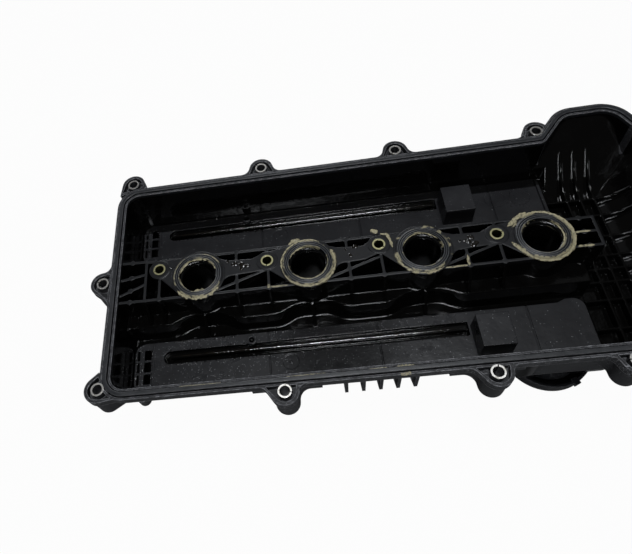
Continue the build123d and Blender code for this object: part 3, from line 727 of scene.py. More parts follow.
@dataclass(frozen=True)
class Nylon(Finish):
    """Black glass-filled nylon, dry and scuffed outside with painted edge highlights and grain
    glints, oily inside.
    """

    dry: Colour = (0.0066, 0.0069, 0.0084)
    rib_top: Colour = (0.0062, 0.0065, 0.0075)
    wet: Colour = OIL_BLACK
    # pale colour of wear, painted edge highlights and painted grain glints
    wear_and_highlight: Colour = (0.42, 0.42, 0.44)
    dust: Colour = (0.42, 0.43, 0.44)
    dry_rough: float = 0.60
    rib_rough: float = 0.40
    sealant_rough: float = 0.60
    film_rough: float = 0.18
    wet_rough: float = 0.07
    worn_rough: float = 0.15            # added on the wear, painted edge highlights and painted glints
    ior: float = 1.46
    oil_cover: float = 0.55
    oil_scale: float = 45.0
    scuff_and_glint_share: float = 0.5
    # pale edges: partly wear, partly painted edge highlight
    edge_wear_and_highlight_share: float = 0.5
    edge_radius: float = 1.4
    handled_z: Spot = (-14.0, -3.0)     # hands rub the outside from the first height up
    unhandled_share: float = 0.3        # wear and painted highlights below that
    whole_inside: bool = False
    sealant_share: float = 0.0
    sealant_gain: float = 0.07          # more sealant from each well to the next
    speck_share: float = 0.0
    speck_cover: float = 0.9
    haze_share: float = 0.02
    dust_x: Spot = (60.0, 230.0)        # dust thins out between these places
    dust_end_share: float = 0.25        # dust that is left beyond them
    pool_z: float | None = None         # oil stands below this height
    pool_edge: float = 0.8
    oily_x: float | None = None         # oil has spread about this place along a plate
    oily_reach: Spot = (15.0, 65.0)     # it thins out between these distances
    oily_share: float = 0.62
    oily_y: float | None = None         # oil lies beyond this line across a plate
    oily_y_edge: float = 1.5
    oily_y_share: float = 0.9

    def paint(self, sheet: MaterialSheet) -> None:
        """Wires the look.

        Args:
            sheet: The material's nodes.
        """
        place = sheet.place
        rounded = sheet.rounded(self.edge_radius)
        inside = 1.0 if self.whole_inside else sheet.group(EFFECTS.inside, Vector=place).outputs[0]
        oil = sheet.group(EFFECTS.oil, Vector=place, Cover=self.oil_cover, Scale=self.oil_scale)
        film = sheet.times(inside, oil.outputs["Mask"])
        outside = sheet.minus(1.0, inside)
        # Scuff marks with painted grain glints.
        scuffs_and_glints = sheet.group(EFFECTS.scuffs_and_glints, Vector=place, Share=self.scuff_and_glint_share)
        # Edges lighten: partly wear, partly painted edge highlight.
        edge = sheet.group(EFFECTS.edge, Vector=place, Rounded=rounded, Share=self.edge_wear_and_highlight_share)
        marks = sheet.math("MAXIMUM", scuffs_and_glints.outputs[0], edge.outputs[0])
        axes = sheet.add("ShaderNodeSeparateXYZ", Vector=place).outputs
        low, high = [DATUM.z + height * MM for height in self.handled_z]
        handled = sheet.ramp(axes["Z"], low, high, self.unhandled_share, 1.0)
        # Painted light: this pale mask carries painted edge highlights and grain glints as well as
        # wear.
        wear_and_highlight = sheet.times(marks, sheet.times(outside, handled))
        body = sheet.mix(inside, self.dry, self.wet)
        body = sheet.mix(wear_and_highlight, body, self.wear_and_highlight)
        rough = sheet.blend(film, self.film_rough, self.wet_rough)
        rough = sheet.blend(outside, rough, self.dry_rough)
        if self.speck_share > 0:
            body = self.dusted(sheet, axes, body)
        for share, gloss in self.spread_oil(sheet, axes):
            body = sheet.mix(share, body, OIL_BLACK)
            rough = sheet.blend(share, rough, gloss)
        if self.sealant_share > 0:
            body, rough = self.flange(sheet, axes, inside, body, rough)
        rough = sheet.math("ADD", rough, sheet.times(wear_and_highlight, self.worn_rough), clamp=True)
        grain = sheet.group(EFFECTS.grain, Vector=place)
        dry = sheet.bump(grain.outputs[0], 0.25, 0.12, rounded)
        wet = sheet.bump(sheet.times(oil.outputs["Ripple"], inside), 0.35, 0.5, dry)
        sheet.show(Base_Color=body, Roughness=rough, Normal=wet, IOR=self.ior)

    def dusted(self, sheet: MaterialSheet, axes: bpy.types.NodeOutputs,
               body: bpy.types.NodeSocket) -> bpy.types.NodeSocket:
        """Lays dust on the nylon.

        Args:
            sheet: The material's nodes.
            axes: The coordinates by axis.
            body: The colour so far.

        Returns:
            The dusty colour.
        """
        start, end = [DATUM.x + x * MM for x in self.dust_x]
        share = sheet.ramp(axes["X"], start, end, self.speck_share,
                           self.speck_share * self.dust_end_share)
        specks = sheet.group(EFFECTS.specks, Vector=sheet.place, Share=share).outputs
        body = sheet.mix(sheet.times(specks["Mask"], self.speck_cover), body, self.dust)
        return sheet.mix(sheet.times(specks["Bloom"], self.haze_share), body, self.dust)

    def spread_oil(self, sheet: MaterialSheet, axes: bpy.types.NodeOutputs
                   ) -> list[tuple[bpy.types.NodeSocket, float]]:
        """Places where oil covers a plate.

        Args:
            sheet: The material's nodes.
            axes: The coordinates by axis.

        Returns:
            The oil's share in each place, and its roughness there.
        """
        places = []
        if self.oily_x is not None:
            away = sheet.gap(axes["X"], DATUM.x + self.oily_x * MM)
            near, far = [reach * MM for reach in self.oily_reach]
            places.append((sheet.ramp(away, near, far, self.oily_share, 0.0), self.wet_rough))
        if self.oily_y is not None:
            line = DATUM.y + self.oily_y * MM
            beyond = sheet.ramp(axes["Y"], line, line + self.oily_y_edge * MM,
                                0.0, self.oily_y_share)
            places.append((beyond, self.wet_rough))
        if self.pool_z is not None:
            low, high = [DATUM.z + (self.pool_z - under) * MM for under in (self.pool_edge, 0)]
            places.append((sheet.ramp(axes["Z"], low, high, 1.0, 0.0), self.wet_rough / 2))
        return places

    def flange(self, sheet: MaterialSheet, axes: bpy.types.NodeOutputs, inside: object,
               body: bpy.types.NodeSocket, rough: bpy.types.NodeSocket
               ) -> tuple[bpy.types.NodeSocket, bpy.types.NodeSocket]:
        """Dries the rib tops and the wells' flange, and leaves torn sealant on them.

        Args:
            sheet: The material's nodes.
            axes: The coordinates by axis.
            inside: The inside's mask.
            body: The colour so far.
            rough: The roughness so far.

        Returns:
            The new colour and roughness.
        """
        top = sheet.math("GREATER_THAN", axes["Z"], DATUM.z + RIB_TOP_Z * MM)
        dry_top = sheet.times(top, inside)
        body = sheet.mix(dry_top, body, self.rib_top)
        rough = sheet.blend(dry_top, rough, self.rib_rough)
        well = sheet.group(EFFECTS.well, Vector=sheet.place).outputs
        share = sheet.plus(sheet.times(well["Number"], self.sealant_gain), self.sealant_share)
        torn = sheet.group(EFFECTS.residue, Vector=sheet.place, Radius=well["Radius"], Share=share)
        stuck = sheet.times(torn.outputs[0], top)
        return (sheet.mix(stuck, body, SEALANT_COLOUR),
                sheet.blend(stuck, rough, self.sealant_rough))


@dataclass(frozen=True)
class Rubber(Finish):
    """Used rubber: grey-black, with a chalky bloom on scuff marks and rubbed edges; the same pale
    colour carries painted edge highlights and grain glints.
    """

    colour: Colour = (0.030, 0.031, 0.032)
    bloom: Colour = (0.20, 0.20, 0.205)
    bloom_and_highlight_share: float = 0.5
    scuff_scale: float = 120.0
    rough: float = 0.55
    rough_range: float = 0.2
    rough_scale: float = 90.0
    edge_radius: float = 0.3
    grain_scale: float = 1500.0

    def paint(self, sheet: MaterialSheet) -> None:
        """Wires the look.

        Args:
            sheet: The material's nodes.
        """
        rounded = sheet.rounded(self.edge_radius)
        scuffs_and_glints = sheet.group(EFFECTS.scuffs_and_glints, Vector=sheet.place, Scale=self.scuff_scale,
                             Share=self.bloom_and_highlight_share)
        edge = sheet.group(EFFECTS.edge, Vector=sheet.place, Rounded=rounded,
                           Share=self.bloom_and_highlight_share)
        # Painted light: the pale bloom also carries painted edge highlights and grain glints.
        wear_and_highlight = sheet.math("MAXIMUM", scuffs_and_glints.outputs[0], edge.outputs[0])
        rough = sheet.patchy(self.rough_scale, self.rough - self.rough_range, self.rough)
        grain = sheet.noise(sheet.place, self.grain_scale, 3.0)
        sheet.show(Base_Color=sheet.mix(wear_and_highlight, self.colour, self.bloom), Roughness=rough,
                   Normal=sheet.bump(grain, 0.3, 0.1, rounded))


@dataclass(frozen=True)
class WellSeal(Finish):
    """Rubber of the plug seals: grey ribbed band with painted shade in the grooves between its
    ridges, black wet lips and torn sealant.
    """

    band: Colour = (0.085, 0.088, 0.092)
    # colour of the painted shade in the grooves between the ridges
    groove_shade: Colour = (0.004, 0.0045, 0.0055)
    lip: Colour = (0.004, 0.004, 0.004)
    wobble_scale: float = 800.0
    lip_wobble: float = 0.9             # how far the lip's edge wanders, in millimetres
    ridge_wobble: float = 2.0           # how uneven the ridges' tops are
    ridge_edge: Spot = (0.0, 1.2)
    lip_r: Spot = (14.9, 15.3)          # the wet lip ends between these radii
    lip_rough_r: Spot = (14.8, 15.4)
    lip_rough: float = 0.10
    band_rough: float = 0.42
    sealant_rough: float = 0.60
    sealant_rings: tuple[Place, ...] = (    # radius, half width and share
        (15.1, 0.35, 0.50), (19.6, 0.6, 0.48))
    grain_scale: float = 900.0

    def paint(self, sheet: MaterialSheet) -> None:
        """Wires the look.

        Args:
            sheet: The material's nodes.
        """
        place = sheet.place
        radius = sheet.group(EFFECTS.well, Vector=place).outputs[0]
        wobble = sheet.minus(sheet.noise(place, self.wobble_scale, 3.0), 0.5)
        uneven = sheet.plus(radius, sheet.times(wobble, self.lip_wobble))
        turns = sheet.math("DIVIDE", sheet.minus(radius, RIDGE_R), RIDGE_STEP)
        waves = sheet.math("COSINE", sheet.times(turns, math.tau))
        tops = sheet.plus(waves, sheet.times(wobble, self.ridge_wobble))
        # Painted shade: dark rings fall in the grooves between the ridges, grey on their crests.
        body = sheet.mix(sheet.ramp(tops, *self.ridge_edge), self.groove_shade, self.band)
        body = sheet.mix(sheet.ramp(uneven, *self.lip_r, 1.0, 0.0), body, self.lip)
        rough = sheet.ramp(uneven, *self.lip_rough_r, self.lip_rough, self.band_rough)
        for middle, half, share in self.sealant_rings:
            torn = sheet.group(EFFECTS.residue, Vector=place, Radius=radius, Middle=middle,
                               Half=half, Share=share).outputs[0]
            body = sheet.mix(torn, body, SEALANT_COLOUR)
            rough = sheet.blend(torn, rough, self.sealant_rough)
        grain = sheet.noise(place, self.grain_scale, 4.0, 0.6)
        sheet.show(Base_Color=body, Roughness=rough, Normal=sheet.bump(grain, 0.5, 0.3))


@dataclass(frozen=True)
class Metal(Finish):
    """Rolled or turned metal with rubbed streaks, dull spots and painted shade down inside its
    hole.
    """

    colour: Colour
    dull: Colour
    # colour of the painted shade inside the hole
    bore_shade: Colour
    rim_z: float                        # top of the bright rim; painted shade darkens the metal below it
    rim_fade: Spot = (-0.9, -0.3)       # the painted shade takes over between these depths under the rim
    edge_radius: float = 0.2
    spot_scale: float = 420.0
    spot_edge: Spot = (0.45, 0.7)
    streak_scale: float = 2400.0
    streak_stretch: Place = (1.0, 1.0, 0.08)
    rough: float = 0.30
    streak_rough: float = 0.18          # added on the streaks
    spot_rough: float = 0.2             # added on the spots

    def paint(self, sheet: MaterialSheet) -> None:
        """Wires the look.

        Args:
            sheet: The material's nodes.
        """
        rounded = sheet.rounded(self.edge_radius, samples=4)
        spots = sheet.ramp(sheet.noise(sheet.place, self.spot_scale, 4.0, 0.65), *self.spot_edge)
        axes = sheet.add("ShaderNodeSeparateXYZ", Vector=sheet.place).outputs
        low, high = [DATUM.z + (self.rim_z + depth) * MM for depth in self.rim_fade]
        face = sheet.mix(spots, self.colour, self.dull)
        # Painted shade: below the rim the colour darkens to the shade colour, down inside the hole.
        body = sheet.mix(sheet.ramp(axes["Z"], low, high), self.bore_shade, face)
        streaks = sheet.noise(sheet.stretched(sheet.place, self.streak_stretch),
                              self.streak_scale, 2.0)
        uneven = sheet.plus(sheet.times(streaks, self.streak_rough),
                            sheet.times(spots, self.spot_rough))
        sheet.show(Base_Color=body, Roughness=sheet.plus(uneven, self.rough), Metallic=1.0,
                   Normal=sheet.bump(streaks, 0.15, 0.05, rounded))


@dataclass(frozen=True)
class Sealant(Finish):
    """Old silicone sealant: chalky tan, smeared and soiled."""

    colour: Colour = (0.35, 0.312, 0.192)
    soiled: Colour = (0.085, 0.075, 0.048)
    dirt_scale: float = 420.0
    dirt_edge: Spot = (0.46, 0.66)
    rough: Spot = (0.4, 0.75)
    rough_scale: float = 150.0
    grain_scale: float = 700.0

    def paint(self, sheet: MaterialSheet) -> None:
        """Wires the look.

        Args:
            sheet: The material's nodes.
        """
        dirt = sheet.ramp(sheet.noise(sheet.place, self.dirt_scale, 5.0, 0.75), *self.dirt_edge)
        grain = sheet.noise(sheet.place, self.grain_scale, 4.0, 0.65)
        sheet.show(Base_Color=sheet.mix(dirt, self.colour, self.soiled),
                   Roughness=sheet.patchy(self.rough_scale, *self.rough),
                   Normal=sheet.bump(grain, 0.6, 0.3))


@dataclass(frozen=True)
class Oil(Finish):
    """Standing engine oil in drops."""

    colour: Colour = (0.0030, 0.0025, 0.0020)
    thin: Colour = (0.008, 0.006, 0.004)
    thin_scale: float = 300.0
    thin_edge: Spot = (0.4, 0.6)
    rough: Spot = (0.05, 0.14)
    rough_scale: float = 500.0
    coat_rough: float = 0.05

    def paint(self, sheet: MaterialSheet) -> None:
        """Wires the look.

        Args:
            sheet: The material's nodes.
        """
        tint = sheet.ramp(sheet.noise(sheet.place, self.thin_scale, 2.0), *self.thin_edge)
        sheet.show(Base_Color=sheet.mix(tint, self.colour, self.thin),
                   Roughness=sheet.patchy(self.rough_scale, *self.rough, detail=2.0),
                   Coat_Weight=1.0, Coat_Roughness=self.coat_rough)


# ---- mesh helpers ------------------------------------------------------------------------------

def finish_mesh(name: str, mesh: bmesh.types.BMesh, material: bpy.types.Material,
                smooth_angle: float = 40.0) -> bpy.types.Object:
    """Turns a bmesh into an object at the origin.

    Args:
        name: The object's name.
        mesh: The bmesh, in the row's frame in metres; it is freed.
        material: Its finish.
        smooth_angle: Edges sharper than this, in degrees, stay sharp.

    Returns:
        The new object.
    """
    data = bpy.data.meshes.new(name)
    mesh.to_mesh(data)
    mesh.free()
    data.materials.append(material)
    data.shade_smooth()
    data.set_sharp_from_angle(angle=math.radians(smooth_angle))
    piece = bpy.data.objects.new(name, data)
    bpy.context.scene.collection.objects.link(piece)
    return piece


def merged_copy(node: str) -> bmesh.types.BMesh:
    """Mesh of a CAD node with its doubled vertices joined and its surface normals kept.

    Args:
        node: The node's name.

    Returns:
        A new bmesh in the row's frame, with the normals in a corner layer.
    """
    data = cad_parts[node].data
    mesh = bmesh.new()
    mesh.from_mesh(data)
    layer = mesh.loops.layers.float_vector.new(OWN_NORMAL)
    for face, polygon in zip(mesh.faces, data.polygons):
        for loop, corner in zip(face.loops, polygon.loop_indices):
            loop[layer] = data.corner_normals[corner].vector
    bmesh.ops.remove_doubles(mesh, verts=mesh.verts, dist=0.002 * MM)
    return mesh


def fit_out(piece: bpy.types.Object, body: Body = Body.COVER) -> None:
    """Gives a piece its body, and reports it.

    Args:
        piece: The piece.
        body: The body that it rides on.
    """
    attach(piece, body.value)
    log.info("%s on %s", piece.name, body.value)


def unit_noise(place: Vector, size: float) -> float:
    """Smooth seeded noise between about -1 and 1, with features of a size in metres."""
    return noise.noise(place / size)


def spun(profile: list[Spot], centre: Vector, steps: int) -> bmesh.types.BMesh:
    """Ring turned from a closed profile.

    Args:
        profile: Closed outline as (radius, height) in millimetres.
        centre: Middle of the ring at height 0.
        steps: Faces round the ring.

    Returns:
        A new closed bmesh.
    """
    mesh = bmesh.new()
    corners = [mesh.verts.new((centre.x + r * MM, centre.y, centre.z + h * MM)) for r, h in profile]
    edges = [mesh.edges.new((corners[i], corners[(i + 1) % len(corners)]))
             for i in range(len(corners))]
    bmesh.ops.spin(mesh, geom=corners + edges, cent=centre, axis=(0, 0, 1),
                   angle=math.tau, steps=steps, use_merge=True, use_duplicate=False)
    bmesh.ops.remove_doubles(mesh, verts=mesh.verts, dist=0.001 * MM)
    bmesh.ops.recalc_face_normals(mesh, faces=mesh.faces)
    return mesh


@dataclass(frozen=True)
class Smear:
    """A smeared bead of sealant along a path in plan."""

    path: list[Spot]
    width: float
    height: float
    z: float
    seed: float = 0.0
    ragged: float = 0.45        # how far its edges wander, as a share of its width
    lumps: float = 1.0          # how uneven its top is
    tears: Spot = (2.6, 0.9)    # sizes of the wanders
    mounds: Spot = (2.4, 1.8)   # sizes of the bumps on top
    step: float = 0.4           # length of one face along the path
    across: int = 9             # faces from side to side

    def add_to(self, mesh: bmesh.types.BMesh) -> None:
        """Adds the bead to a bmesh as a closed lump.

        Args:
            mesh: The bmesh to add to.
        """
        points = [DATUM.at(x, y, self.z) for x, y in self.path]
        lengths = [0.0]
        for start, end in zip(points, points[1:]):
            lengths.append(lengths[-1] + (end - start).length)
        along = max(4, int(lengths[-1] / (self.step * MM)))
        made = bmesh.ops.create_grid(mesh, x_segments=along, y_segments=self.across, size=1.0)
        offset = Vector((self.seed * 7.13, self.seed * 3.7, self.seed))
        for vertex in made["verts"]:
            u, v = (vertex.co.x + 1) / 2, vertex.co.y
            place, side = self.walk(points, lengths, u)
            where = place + offset + side * (v * MM)
            broad, fine = [unit_noise(where, size * MM) for size in self.tears]
            torn = broad + 0.6 * fine
            edge = 1.0 + self.ragged * torn
            taper = min(1.0, 5.0 * min(u, 1 - u) + 0.25)
            reach = v * self.width / 2 * MM * edge * taper
            crown = math.sqrt(max(0.0, 1 - v * v))
            broad = unit_noise(where * 2, self.mounds[0] * MM)
            fine = unit_noise(where * 3, self.mounds[1] * MM)
            lump = 0.6 + self.lumps * (0.6 * broad + 0.4 * fine)
            rise = self.height * MM * crown * max(0.15, lump) * taper - 0.12 * MM
            vertex.co = place + side * reach + Vector((0, 0, rise))
        faces = {face for vertex in made["verts"] for face in vertex.link_faces}
        grown = bmesh.ops.extrude_face_region(mesh, geom=list(faces))
        for item in grown["geom"]:
            if isinstance(item, bmesh.types.BMVert):
                item.co.z = min(item.co.z, self.low_z())

    def low_z(self) -> float:
        """Height of the lump's hidden underside."""
        return DATUM.z + (self.z - 0.2) * MM

    @staticmethod
    def walk(points: list[Vector], lengths: list[float], share: float) -> tuple[Vector, Vector]:
        """Point and sideways direction at a share of the path's length.

        Args:
            points: The path.
            lengths: Length from its start to each point.
            share: Where to stand, from 0 to 1.

        Returns:
            The place and the unit vector to its left.
        """
        target = share * lengths[-1]
        index = 0
        while index < len(points) - 2 and lengths[index + 1] < target:
            index += 1
        step = points[index + 1] - points[index]
        part = (target - lengths[index]) / max(step.length, 1e-9)
        heading = step.normalized()
        return points[index] + step * part, Vector((-heading.y, heading.x, 0))


def arc(centre: Spot, radius: float, start: float, end: float) -> list[Spot]:
    """Arc in plan.

    Args:
        centre: Its centre.
        radius: Its radius.
        start: First angle in degrees.
        end: Last angle in degrees.

    Returns:
        Points along it.
    """
    count = max(4, int(abs(end - start) / 6))
    angles = [math.radians(start + (end - start) * i / count) for i in range(count + 1)]
    return [(centre[0] + radius * math.cos(a), centre[1] + radius * math.sin(a)) for a in angles]


# ---- stage -------------------------------------------------------------------------------------

@dataclass(frozen=True)
class Lamp:
    """Soft rectangular lamp aimed at the middle of the cover."""

    name: str
    place: Place                    # in metres, from the middle of the floor
    width: float
    depth: float
    radiance: float
    aim_height: float = 0.05
    colour: Colour = (0.93, 0.96, 1.0)

    def build(self) -> None:
        """Adds the lamp to the scene."""
        data = bpy.data.lights.new(self.name, "AREA")
        data.shape = "RECTANGLE"
        data.size = self.width
        data.size_y = self.depth
        data.energy = self.radiance * math.pi * self.width * self.depth
        data.color = self.colour
        lamp = bpy.data.objects.new(self.name, data)
        aim = Vector(self.place) - Vector((0, 0, self.aim_height))
        lamp.rotation_euler = aim.to_track_quat("Z", "Y").to_euler()
        lamp.location = self.place
        bpy.context.scene.collection.objects.link(lamp)


LAMPS = (
    Lamp("ceiling_lamp", (0.35, 0.95, 1.60), 1.3, 0.9, 0.09),
    Lamp("overhead_lamp", (0.02, -0.04, 1.60), 0.50, 0.24, 36.0),
    Lamp("front_lamp", (-0.20, -1.30, 1.12), 0.40, 0.20, 30.0),
    Lamp("far_lamp", (-0.20, 1.65, 0.60), 0.50, 0.16, 24.0),
    Lamp("side_lamp", (-1.40, 0.95, 0.65), 0.16, 0.30, 10.0),
)


@dataclass(frozen=True)
class Camera:
    """Camera above the near left of the cover."""

    place: Place = (93.14, -229.92, 372.18)         # drawn, in millimetres
    right: Place = (0.9873, -0.0394, -0.1536)       # directions of its picture
    down: Place = (-0.1142, -0.8486, -0.5165)
    back: Place = (0.11, -0.5275, 0.8424)
    lens: float = 31.889
    sensor_width: float = 36.0
    shift: Spot = (0.1006, -0.0208)
    clip_start: float = 0.01

    def build(self) -> None:
        """Adds the camera and gives it to the scene."""
        data = bpy.data.cameras.new("camera")
        data.sensor_width = self.sensor_width
        data.lens = self.lens
        data.shift_x, data.shift_y = self.shift
        data.clip_start = self.clip_start
        camera = bpy.data.objects.new("camera", data)
        right, down, back = Vector(self.right), Vector(self.down), Vector(self.back)
        turn = Matrix((right, -down, back)).transposed().to_4x4()
        camera.matrix_world = Matrix.Translation(DATUM.at(*self.place)) @ turn
        bpy.context.scene.collection.objects.link(camera)
        bpy.context.scene.camera = camera


@dataclass(frozen=True)
class Stage:
    """Floor, room light, lamps and camera."""

    lamps: tuple[Lamp, ...] = LAMPS
    camera: Camera = Camera()
    floor_reach: float = 6.0        # metres from its middle to its sides
    floor_gap: float = 0.2          # millimetres under the cover's lowest point
    floor_grey: float = 0.35
    floor_glow: float = 0.97        # share of plain white where the camera sees the floor
    room_light: float = 0.03

    def build(self) -> None:
        """Makes the whole stage."""
        self.build_floor()
        self.build_world()
        for lamp in self.lamps:
            lamp.build()
        self.camera.build()

    def build_floor(self) -> None:
        """Pale floor that shows white and still takes the cover's shadow."""
        mesh = bmesh.new()
        bmesh.ops.create_grid(mesh, x_segments=2, y_segments=2, size=self.floor_reach)
        bmesh.ops.translate(mesh, verts=mesh.verts,
                            vec=(0, 0, CAD_BOX[0][2] - self.floor_gap * MM))
        material = bpy.data.materials.new("pale_floor")
        material.use_nodes = True
        sheet = NodeSheet(material.node_tree)
        grey = self.floor_grey
        matte = sheet.add("ShaderNodeBsdfDiffuse", Color=(grey, grey, grey, 1))
        glow = sheet.add("ShaderNodeEmission", Color=(1, 1, 1, 1), Strength=1.0)
        seen = sheet.add("ShaderNodeLightPath")
        share = sheet.times(seen.outputs["Is Camera Ray"], self.floor_glow)
        both = sheet.add("ShaderNodeMixShader", Fac=share)
        sheet.feed(both, 1, matte.outputs[0])
        sheet.feed(both, 2, glow.outputs[0])
        output = sheet.add("ShaderNodeOutputMaterial")
        sheet.feed(output, "Surface", both.outputs[0])
        finish_mesh("floor", mesh, material)

    def build_world(self) -> None:
        """Even dim room light, white where the camera sees it."""
        world = bpy.data.worlds.new("room")
        bpy.context.scene.world = world
        world.use_nodes = True
        sheet = NodeSheet(world.node_tree)
        seen = sheet.add("ShaderNodeLightPath")
        strength = sheet.blend(seen.outputs["Is Camera Ray"], self.room_light, 1.0)
        glow = sheet.add("ShaderNodeBackground", Color=(1, 1, 1, 1), Strength=strength)
        output = sheet.add("ShaderNodeOutputWorld")
        sheet.feed(output, "Surface", glow.outputs[0])


# ---- sub-assemblies ----------------------------------------------------------------------------

@dataclass(frozen=True)
class NodeCopy:
    """Closed, smooth-shaded copy that stands in for a CAD node."""

    node: str
    name: str
    slot: Slot
    body: Body = Body.COVER

    def build(self, material: bpy.types.Material) -> None:
        """Makes the copy and dresses it.

        Args:
            material: Its finish.
        """
        piece = finish_mesh(self.name, merged_copy(self.node), material)
        kept = piece.data.attributes[OWN_NORMAL]
        piece.data.normals_split_custom_set([corner.vector for corner in kept.data])
        piece.data.attributes.remove(kept)
        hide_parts(self.node)
        fit_out(piece, self.body)


@dataclass(frozen=True)
class PlugSeals:
    """The four round seals in the well mouths, ribbed on top."""

    ridges: int = 3
    ridge: tuple[Spot, ...] = ((0.15, -1.25), (-0.25, -1.2), (-0.7, -1.8))  # outside to inside
    below: tuple[Spot, ...] = (     # section from the outer edge down and back to the lip
        (19.3, -1.5), (19.95, -1.9), (19.95, -9.9), (15.4, -9.9), (15.4, -8.0), (14.4, -7.4),
        (13.5, -7.0), (13.4, -6.6), (13.4, -5.0), (13.8, -4.4), (14.4, -4.2), (14.5, -3.4),
        (14.9, -3.0), (15.0, -2.2))
    steps: int = 96

    def section(self) -> list[Spot]:
        """Draws the closed section of a seal.

        Returns:
            Its corners, as radius and height in millimetres.
        """
        band = []
        for number in reversed(range(self.ridges)):
            crest = RIDGE_R + number * RIDGE_STEP
            band += [(crest + out, height) for out, height in self.ridge]
        return [*reversed(band), *self.below]

    def build(self, rubber: bpy.types.Material) -> None:
        """Makes one ring for each well.

        Args:
            rubber: The seals' finish.
        """
        for number, x in enumerate(WELL_X):
            mesh = spun(self.section(), DATUM.at(x, 0, 0), self.steps)
            piece = finish_mesh(f"well_seal_{number + 1}", mesh, rubber)
            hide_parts(f"plug_seal_{number + 1}")
            fit_out(piece)


@dataclass(frozen=True)
class SealantPatch:
    """Old sealant left in one place, as one piece."""

    name: str
    smears: tuple[Smear, ...]
    sharp_angle: float = 60.0

    def build(self, sealant: bpy.types.Material) -> None:
        """Makes the patch.

        Args:
            sealant: Its finish.
        """
        mesh = bmesh.new()
        for smear in self.smears:
            smear.add_to(mesh)
        bmesh.ops.recalc_face_normals(mesh, faces=mesh.faces)
        fit_out(finish_mesh(self.name, mesh, sealant, self.sharp_angle))


SEALANT = (
    SealantPatch("well_1_sealant", (
        Smear(arc(WELL_1, 15.3, 12, 58), 2.0, 0.5, -1.9, 1, 0.8),
        Smear(arc(WELL_1, 15.6, 62, 112), 3.4, 0.6, -1.9, 31, 0.9),
        Smear(arc(WELL_1, 15.2, 112, 168), 2.2, 0.5, -1.9, 32, 0.8),
        Smear(arc(WELL_1, 14.9, 196, 235), 1.1, 0.4, -2.4, 2, 0.7),
        Smear(arc(WELL_1, 20.8, 214, 328), 2.8, 0.4, -2.0, 3, 0.7),
        Smear(arc(WELL_1, 14.6, 258, 290), 3.0, 0.6, -2.6, 4, 0.7))),
    SealantPatch("well_2_sealant", (
        Smear(arc(WELL_2, 20.9, 60, 200), 1.4, 0.6, -1.9, 5, 0.9),
        Smear(arc(WELL_2, 20.9, 200, 385), 1.7, 0.5, -1.8, 6, 0.8),
        Smear(arc(WELL_2, 15.0, 100, 160), 1.9, 0.5, -1.9, 7, 0.9),
        Smear(arc(WELL_2, 14.8, 215, 345), 1.0, 0.4, -1.9, 33, 0.9),
        Smear([(74.0, 18.4), (78.8, 22.3), (83.7, 21.6)], 3.0, 0.8, -2.2, 8, 0.7),
        Smear(arc(WELL_2, 20.8, -8, 28), 2.6, 0.7, -2.0, 9, 0.9))),
    SealantPatch("well_3_sealant", (
        Smear(arc(WELL_3, 15.2, 30, 165), 1.5, 0.5, -2.1, 10, 0.9),
        Smear(arc(WELL_3, 20.8, 186, 312), 1.9, 0.4, -2.0, 11, 0.9),
        Smear([(139.5, 22.6), (142.3, 21.9), (144.6, 20.0)], 4.4, 0.8, -2.2, 12),
        Smear([(146.5, 18.6), (151.5, 17.6), (153.2, 11.5), (154.0, 5.0)], 2.2, 0.6, -2.0, 13),
        Smear([(155.6, 0.6), (158.0, -7.5), (163.5, -14.0)], 1.8, 0.5, -2.0, 14))),
    SealantPatch("well_4_sealant", (
        Smear(arc(WELL_4, 21.6, -150, 130), 1.9, 0.7, -2.0, 15, 0.8),
        Smear([(241.2, 11.4), (246.2, 15.4), (251.6, 19.6), (257.5, 22.4)], 3.0, 0.7, -2.0, 16),
        Smear([(240.6, -2.5), (245.4, -10.0), (251.6, -15.4)], 2.4, 0.6, -2.0, 17),
        Smear(arc(WELL_4, 14.9, 300, 400), 1.7, 0.5, -2.4, 18))),
    SealantPatch("rib_sealant", (
        Smear([(55.0, -17.6), (60.0, -17.7), (71.0, -17.8)], 1.7, 0.5, -3.0, 19),
        Smear([(55.7, -18.6), (55.9, -15.0)], 2.0, 0.6, -3.0, 20),
        Smear([(187.6, -17.7), (201.0, -17.7), (206.5, -17.7)], 1.7, 0.4, -3.0, 21),
        Smear([(206.4, -18.3), (207.2, -8.0)], 1.8, 0.5, -3.0, 22),
        Smear([(286.6, 0.0), (293.0, 0.2), (298.4, 0.0)], 1.8, 0.5, -3.0, 23),
        Smear([(284.8, -12.2), (290.0, -12.3), (296.6, -12.4)], 2.0, 0.6, -3.0, 24))),
    SealantPatch("rim_sealant", (
        Smear([(-12.0, -92.0), (3.0, -91.6), (18.0, -91.9)], 1.5, 0.2, -0.1, 25, 1.7),
        Smear([(64.2, -91.4), (78.0, -91.8), (92.4, -91.5)], 1.6, 0.25, -0.1, 26, 1.6),
        Smear([(122.0, -91.8), (128.0, -91.6), (134.0, -91.9)], 1.1, 0.2, -0.1, 27, 0.9),
        Smear([(140.0, -91.6), (146.5, -91.9), (152.0, -91.7)], 2.0, 0.4, -0.1, 28, 0.7),
        Smear([(141.5, -97.4), (145.0, -97.5), (149.5, -97.4)], 2.4, 0.6, -0.1, 29, 0.7),
        Smear([(318.0, 117.6), (325.0, 120.3), (337.0, 120.4), (347.0, 118.8)],
              2.2, 0.25, -0.1, 30, 0.5))),
)


def add_drop(mesh: bmesh.types.BMesh, place: Vector, size: float, chance: random.Random) -> None:
    """Adds one flat drop of oil.

    Args:
        mesh: The bmesh to add to.
        place: Its middle.
        size: Its radius in millimetres.
        chance: Source of its shape.
    """
    made = bmesh.ops.create_icosphere(mesh, subdivisions=2, radius=size * MM)
    stretch = chance.uniform(1.0, 1.7)
    turn = Matrix.Rotation(chance.uniform(0, math.pi), 3, "Z")
    for vertex in made["verts"]:
        shape = vertex.co.copy()
        shape.x *= stretch
        shape.z *= 0.3
        vertex.co = place + turn @ shape


